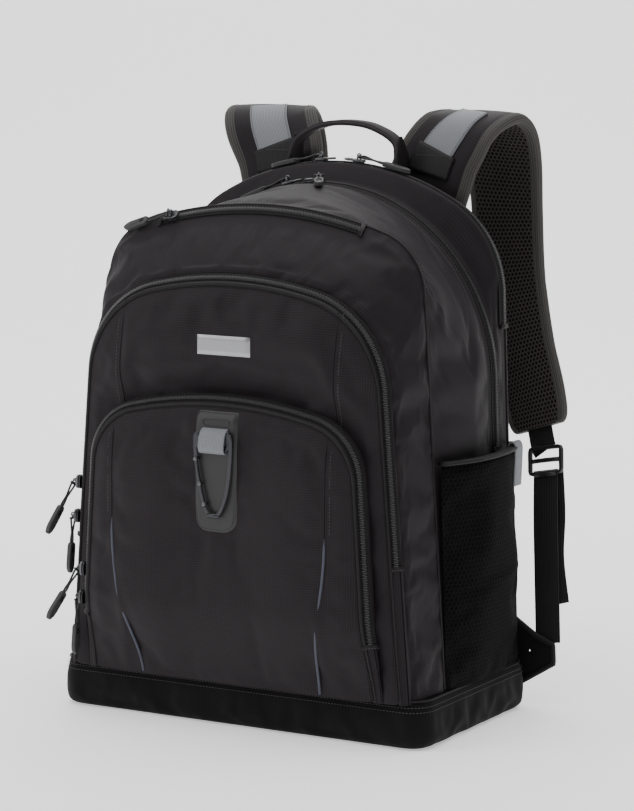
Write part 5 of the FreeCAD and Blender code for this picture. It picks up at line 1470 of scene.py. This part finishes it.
def make_zip(name, path, across, node, outwards=(-UP, -UP), tapes=(-1, 1)):
    """A closed zip on the bag: its tapes, its coil and the hems at its two ends."""
    for side in tapes:
        settle(zip_tape(name, path, across, side), "bag", "zip_tape")
    settle(zip_coil(name, path), "bag", "gunmetal", node)
    for end, index, outward in (("left", 0, outwards[0]), ("right", -1, outwards[1])):
        zip_hem(f"{name}_{end}", path[index], across[index], outward)


def make_quick_zip():
    """The short zip along the crown of the front panel, on the slope between two outlines."""
    quick, edge = Arch("quick"), Arch("edge")
    middle = [(p.lerp(q, 0.5), n) for (p, n), (q, _) in zip(quick.rail(), edge.rail())]
    slope = (Vector((0, edge.y, edge.top)) - Vector((0, quick.y, quick.top))).normalized()
    facing = Vector((0, -slope.z, slope.y))
    path = [(p + facing * 0.6 * MM, (facing + Vector((n.x, 0, 0))).normalized())
            for p, n in crown_part(middle, 101 * MM)]
    points = [p for p, _ in path]
    outwards = [(points[0] - points[1]).normalized(), (points[-1] - points[-2]).normalized()]
    make_zip("quick_zip", path, [slope] * len(path), "quick_access_zip", outwards)
    for shift, label in ((-6.4, "front"), (6.4, "rear")):
        row = [(p + slope * shift * MM + n * 0.2 * MM, n) for p, n in path]
        settle(stitch_row(f"quick_stitches_{label}", row, material=DARK_THREAD), "bag", "ripstop")


def make_zips():
    for label, outline, foot in (("main", "mainzip", MAIN_ZIP_FOOT), ("laptop", "back", LAPTOP_ZIP_FOOT)):
        path = Arch(outline).rail(None, CROWN_ZIP_LIFT, foot)
        make_zip(f"{label}_zip", path, [Vector((0, 1, 0))] * len(path), f"{label}_zip")
    path, across = pocket_zip_path(UPPER_RIM, UPPER_ZIP_FOOT)
    make_zip("upper_zip", path, across, "upper_pocket_zip")
    path, across = pocket_zip_path(LOWER_RIM, FOLD_HEIGHT)
    make_zip("lower_zip", path, across, "lower_pocket_zip", tapes=(1,))
    inner = zip_tape("lower_zip_inner", path, across, -1)
    settle(inner, "pocket_flap", "zip_tape", "lower_pocket_zip_inner")
    make_quick_zip()


def make_wall_stitching():
    """The stitches, seams and welts along the compartments' walls."""
    main, edge = Arch("mainzip"), Arch("edge")
    for index, shift in enumerate((-8.5, -15.5)):
        row = main.rail(main.y + shift * MM, 0.5 * MM, STITCH_FOOT)
        settle(stitch_row(f"main_stitches_{index}", row), "bag", "ripstop")
    row = main.rail(main.y + 8.0 * MM, 0.5 * MM, STITCH_FOOT)
    settle(stitch_row("laptop_gusset_stitches", row, material=DARK_THREAD), "bag", "ripstop")
    settle(seam_line("edge_seam", edge.rail(None, 0.2 * MM, BOOT_TOP), 1.1 * MM, WELT), "bag", "ripstop")
    row = edge.rail(edge.y + 4.5 * MM, 0.3 * MM, BOOT_TOP)
    settle(stitch_row("edge_stitches", row, material=DARK_THREAD), "bag", "ripstop")
    reach, foot = TAPE_HALF + 0.6 * MM, 60 * MM
    for outline, low, y_shift in (("back", LAPTOP_ZIP_FOOT, -reach), ("back", foot, reach),
                                  ("mainzip", foot, reach), ("mainzip", foot, -reach)):
        arch = Arch(outline)
        name = f"{outline}_welt_{'front' if y_shift < 0 else 'rear'}"
        line = arch.rail(arch.y + y_shift, 0.5 * MM, low)
        welt = sweep(name, line, rounded(2.6 * MM, 1.3 * MM, 0.6 * MM), WELT, pitch=5 * MM)
        settle(welt, "bag", "ripstop")


# ---------------------------------------------------------------- clip, patch and badge
CLIP_Y = -142.0


def rounded_outline(half, low, high, bottom_radius, top_radius=2.0, count=10):
    """Points round a plate with rounded corners, in millimetres, from its right side upwards."""
    points = []
    corners = ((half, high, top_radius, 0), (-half, high, top_radius, 1), (-half, low, bottom_radius, 2),
               (half, low, bottom_radius, 3))
    for x, z, radius, quarter in corners:
        sx, sz = (1 if x > 0 else -1), (1 if z == high else -1)
        for step in range(count + 1):
            angle = math.pi / 2 * (quarter + step / count)
            points.append((x - sx * radius + radius * math.cos(angle),
                           z - sz * radius + radius * math.sin(angle)))
    return points


def proud_of_face(points):
    """(point, normal) pairs on the clip's patch, through (x, z) millimetres."""
    on_face = on_surface(lower_surface, [(x * MM, z * MM) for x, z in points])
    return [(p + FRONT * 2.0 * MM, n) for p, n in on_face]


def make_clip_patch():
    """The moulded patch behind the clip, with a round foot, a slot at its top and its stitches."""
    rows = []
    low, high, half, corner = 178.0, 283.0, 21.0, 14.0
    for r in range(43):
        z = mix(low, high, (r / 42) ** 1.3)
        fall = max(0.0, low + corner - z) / corner
        wide = half - corner * (1 - math.sqrt(1 - fall ** 2))
        row = []
        for c in range(19):
            u = c / 9 - 1
            thick = 1.9 * min(smooth((1 - abs(u)) * 8), smooth((z - low) / 1.5), smooth((high - z) / 1.5))
            x = wide * u * MM
            row.append(Vector((x, lower_surface(x, z * MM) - (0.1 + thick) * MM, z * MM)))
        rows.append(row)
    patch = skin("clip_backing", rows, RUBBER)
    settle(patch, "pocket_flap", "rubber_patch", "clip_patch")
    slot_ring = proud_of_face(rounded_outline(13, 270.5, 276, 2.6, 2.6, 4))
    ridge = sweep("patch_ridge", slot_ring, circle(0.45 * MM, 8), RUBBER, closed=True)
    settle(ridge, "pocket_flap", "rubber_patch")
    rim = proud_of_face(rounded_outline(18.4, 180.6, 281.5, 11.5)[6:])
    settle(stitch_row("patch_stitches", rim, 2.6 * MM, 1.5 * MM, 0.25 * MM, DARK_THREAD), "pocket_flap",
           "rubber_patch")


def make_clip_webbing():
    """The webbing loop that holds the clip, in (offset from the clip's plane, height) millimetres."""
    loop_line = ((4.3, 268), (1.0, 266), (-1.9, 262), (-3.3, 256), (-3.6, 252), (-2.6, 248.9),
                 (0, 247.6), (2.6, 249), (3.3, 253), (3.6, 260), (4.1, 267))
    line = smooth_path([(Vector((0, CLIP_Y + d, z)) * MM, UP) for d, z in loop_line],
                       Vector((-1, 0, 0)), 4)
    web = sweep("clip_webbing", line, rounded(25.5 * MM, 1.5 * MM, 0.6 * MM), GREY_WEBBING)
    settle(web, "clip", "grey_webbing", "clip_webbing_loop")


def clip_path(outline):
    """A smooth path in the clip's plane through (x, height) millimetres."""
    return smooth_path([(Vector((x, CLIP_Y, z)) * MM, UP) for x, z in outline], Vector((0, 1, 0)), 3)


def make_clip_frame():
    outline = [(-17.2, 243), (-17.4, 250), (-17.6, 258), (-17.0, 262.6), (-15.2, 262.4), (-14.8, 257.5),
               (-14.2, 252.4), (0, 252), (14.2, 252.4), (14.8, 257.5), (15.2, 262.4), (17.0, 262.6), (17.6, 258),
               (17.4, 250), (17.0, 241), (15.6, 228), (13.0, 214), (9.4, 203), (5.4, 195.4), (2.5, 193),
               (-2.5, 193), (-5.6, 195.6), (-8.6, 200.6)]
    path = clip_path(outline)
    wires = []
    for shift in (-0.85, 0.85):
        line = [(p + n * shift * MM, n) for p, n in path]
        wires.append(sweep(f"clip_wire_{shift}", line, circle(1.15 * MM, 10), GUNMETAL))
    web_plate = sweep("clip_web_plate", path, rounded(2.2 * MM, 2.6 * MM, 0.5 * MM), GUNMETAL)
    knob = capsule_piece("clip_toe", Vector((0, CLIP_Y, 193.4)) * MM, Vector((1, 0, 0)), 13 * MM,
                         2.3 * MM, GUNMETAL)
    body = join("clip_body", wires + [web_plate, knob])
    settle(body, "clip", "gunmetal", "clip_frame")


def make_clip_gate():
    gate_line = [(-17.1, 242), (-15.8, 232), (-13.6, 221), (-11.0, 210), (-8.6, 202)]
    bar = sweep("clip_gate_bar", clip_path(gate_line), rounded(2.6 * MM, 3.0 * MM, 0.9 * MM), GUNMETAL)
    parts = [bar]
    for x, z, long in ((-17.0, 241.6, 5.6), (-13.4, 220.2, 4.6), (-8.8, 202.6, 5.0)):
        at = Vector((x, CLIP_Y, z)) * MM
        joint = capsule_piece(f"clip_joint_{z}", at, Vector((0, 1, 0)), long * MM, 2.2 * MM, LIGHT_METAL)
        parts.append(joint)
    gate = join("clip_gate_set", parts)
    settle(gate, "clip_gate", "gunmetal", "clip_gate")


def capsule_piece(name, at, axis, length, radius, material):
    """A round-ended bar through at, along axis."""
    points, faces = capsule(length, radius, 14)
    turn = axis.to_track_quat("X", "Z").to_matrix().to_4x4()
    return mesh_piece(name, [Matrix.Translation(at) @ turn @ p for p in points], faces, material)


def make_badge():
    """A plain badge that follows the swell of the upper pocket."""
    rows = []
    half, low, high = 26.5, 329.5, 346.5
    for r in range(9):
        row = []
        for c in range(25):
            u, v = c / 12 - 1, r / 4 - 1
            x = half * u * MM
            z = mix(low, high, r / 8) * MM
            edge = min(smooth((1 - abs(u)) * 9), smooth((1 - abs(v)) * 4))
            row.append(Vector((x, upper_surface(x, z) - (0.2 + 1.3 * edge) * MM, z)))
        rows.append(row)
    badge = skin("plain_badge", rows, BADGE)
    settle(badge, "bag", "badge", "name_badge")


# ---------------------------------------------------------------- stage, camera and lights
CAMERA_AZIMUTH = math.radians(30.0)
CAMERA_ELEVATION = math.radians(8.2)
CAMERA_DISTANCE = 2.863
FLOOR_HALF = 9.0
# (distance behind the bag, height) of the floor's section, metres.
FLOOR_CURVE = ((-9.0, 0), (0, 0), (4.2, 0), (5.0, 0.08), (5.8, 0.4), (6.4, 1.1), (6.7, 2.2), (6.8, 7.0))


def make_stage():
    """A plain pale floor that curves up far behind the bag."""
    paper = bpy.data.materials.new("paper")
    paper.use_nodes = True
    surface = paper.node_tree.nodes["Principled BSDF"]
    surface.inputs["Base Color"].default_value = (0.90, 0.90, 0.90, 1)
    surface.inputs["Roughness"].default_value = 0.9
    surface.inputs["Emission Color"].default_value = (1, 1, 1, 1)
    surface.inputs["Emission Strength"].default_value = 0.52
    rows = [[Vector((x, y, z)) for x in (-FLOOR_HALF, 0, FLOOR_HALF)] for y, z in FLOOR_CURVE]
    sweep_floor = skin("floor", rows, paper)
    modifier = sweep_floor.modifiers.new("round", "SUBSURF")
    modifier.levels = 3
    modifier.render_levels = 3
    apply_modifiers(sweep_floor)
    place(sweep_floor, Matrix.Rotation(CAMERA_AZIMUTH, 4, "Z"))


def area_light(name, at, target, size, power):
    data = bpy.data.lights.new(name, "AREA")
    data.shape = "RECTANGLE"
    data.size, data.size_y = size
    data.energy = power
    light = bpy.data.objects.new(name, data)
    bpy.context.scene.collection.objects.link(light)
    light.location = at
    light.rotation_euler = (Vector(target) - Vector(at)).to_track_quat("-Z", "Y").to_euler()


def make_camera():
    right = Vector((math.cos(CAMERA_AZIMUTH), math.sin(CAMERA_AZIMUTH), 0))
    level = math.cos(CAMERA_ELEVATION)
    towards = Vector((math.sin(CAMERA_AZIMUTH) * level, -math.cos(CAMERA_AZIMUTH) * level,
                      math.sin(CAMERA_ELEVATION)))
    target = right * 0.0179 + Vector((0, 0, 0.271))
    data = bpy.data.cameras.new("camera")
    data.sensor_fit = "VERTICAL"
    data.sensor_height = 36
    data.lens = 142.7
    camera = bpy.data.objects.new("camera", data)
    bpy.context.scene.collection.objects.link(camera)
    camera.location = target + towards * CAMERA_DISTANCE
    camera.rotation_euler = towards.to_track_quat("Z", "Y").to_euler()
    bpy.context.scene.camera = camera


def light_studio():
    world = bpy.data.worlds.new("studio")
    bpy.context.scene.world = world
    world.use_nodes = True
    background = world.node_tree.nodes["Background"]
    background.inputs["Color"].default_value = (0.86, 0.87, 0.88, 1)
    background.inputs["Strength"].default_value = 0.36
    centre = (0, 0, 0.25)
    area_light("ceiling", (0, 0.2, 3.2), (0, 0.2, 0), (5.0, 5.0), 172)
    area_light("left_soft", (-2.0, -1.9, 1.5), centre, (1.2, 1.6), 24)
    area_light("back_rim", (-0.7, 2.0, 1.9), centre, (1.6, 0.8), 12)
    area_light("backdrop", (-1.9, 3.3, 3.4), (-3.0, 5.3, 0.6), (5.0, 1.6), 120)


# ---------------------------------------------------------------- assembly
def build():
    walls = make_bag_walls()
    on_flap = make_pockets()
    upper, lower, back = make_faces()
    boot = make_boot()
    bottles = [make_bottle_pocket(side) for side in (1, -1)]
    settle_cloths()
    for piece, node in walls:
        settle(soften(piece), "bag", "ripstop", node)
    settle(soften(upper), "bag", "ripstop", "upper_pocket_shell")
    on_flap(soften(lower), "ripstop", "lower_pocket_flap")
    settle(soften(back), "bag", "spacer_mesh", "back_panel_pad")
    settle(soften(boot), "bag", "ripstop", "base_boot")
    for (mesh, binding), side in zip(bottles, (1, -1)):
        name = side_name(side)
        settle(soften(mesh), "bag", "spacer_mesh", f"bottle_pocket_{name}")
        settle(binding, "bag", "dark_webbing", *(("bottle_pocket_bindings",) if side > 0 else ()))
        tab = make_pocket_tab(side)
        settle(tab, "bag", "grey_webbing", *(("pocket_pull_tabs",) if side > 0 else ()))
    make_zips()
    make_wall_stitching()
    for side in (1, -1):
        make_strap(side)
    make_handle()
    make_sliders()
    make_clip_patch()
    make_clip_webbing()
    make_clip_frame()
    make_clip_gate()
    make_badge()
    make_stage()
    make_camera()
    light_studio()


build()
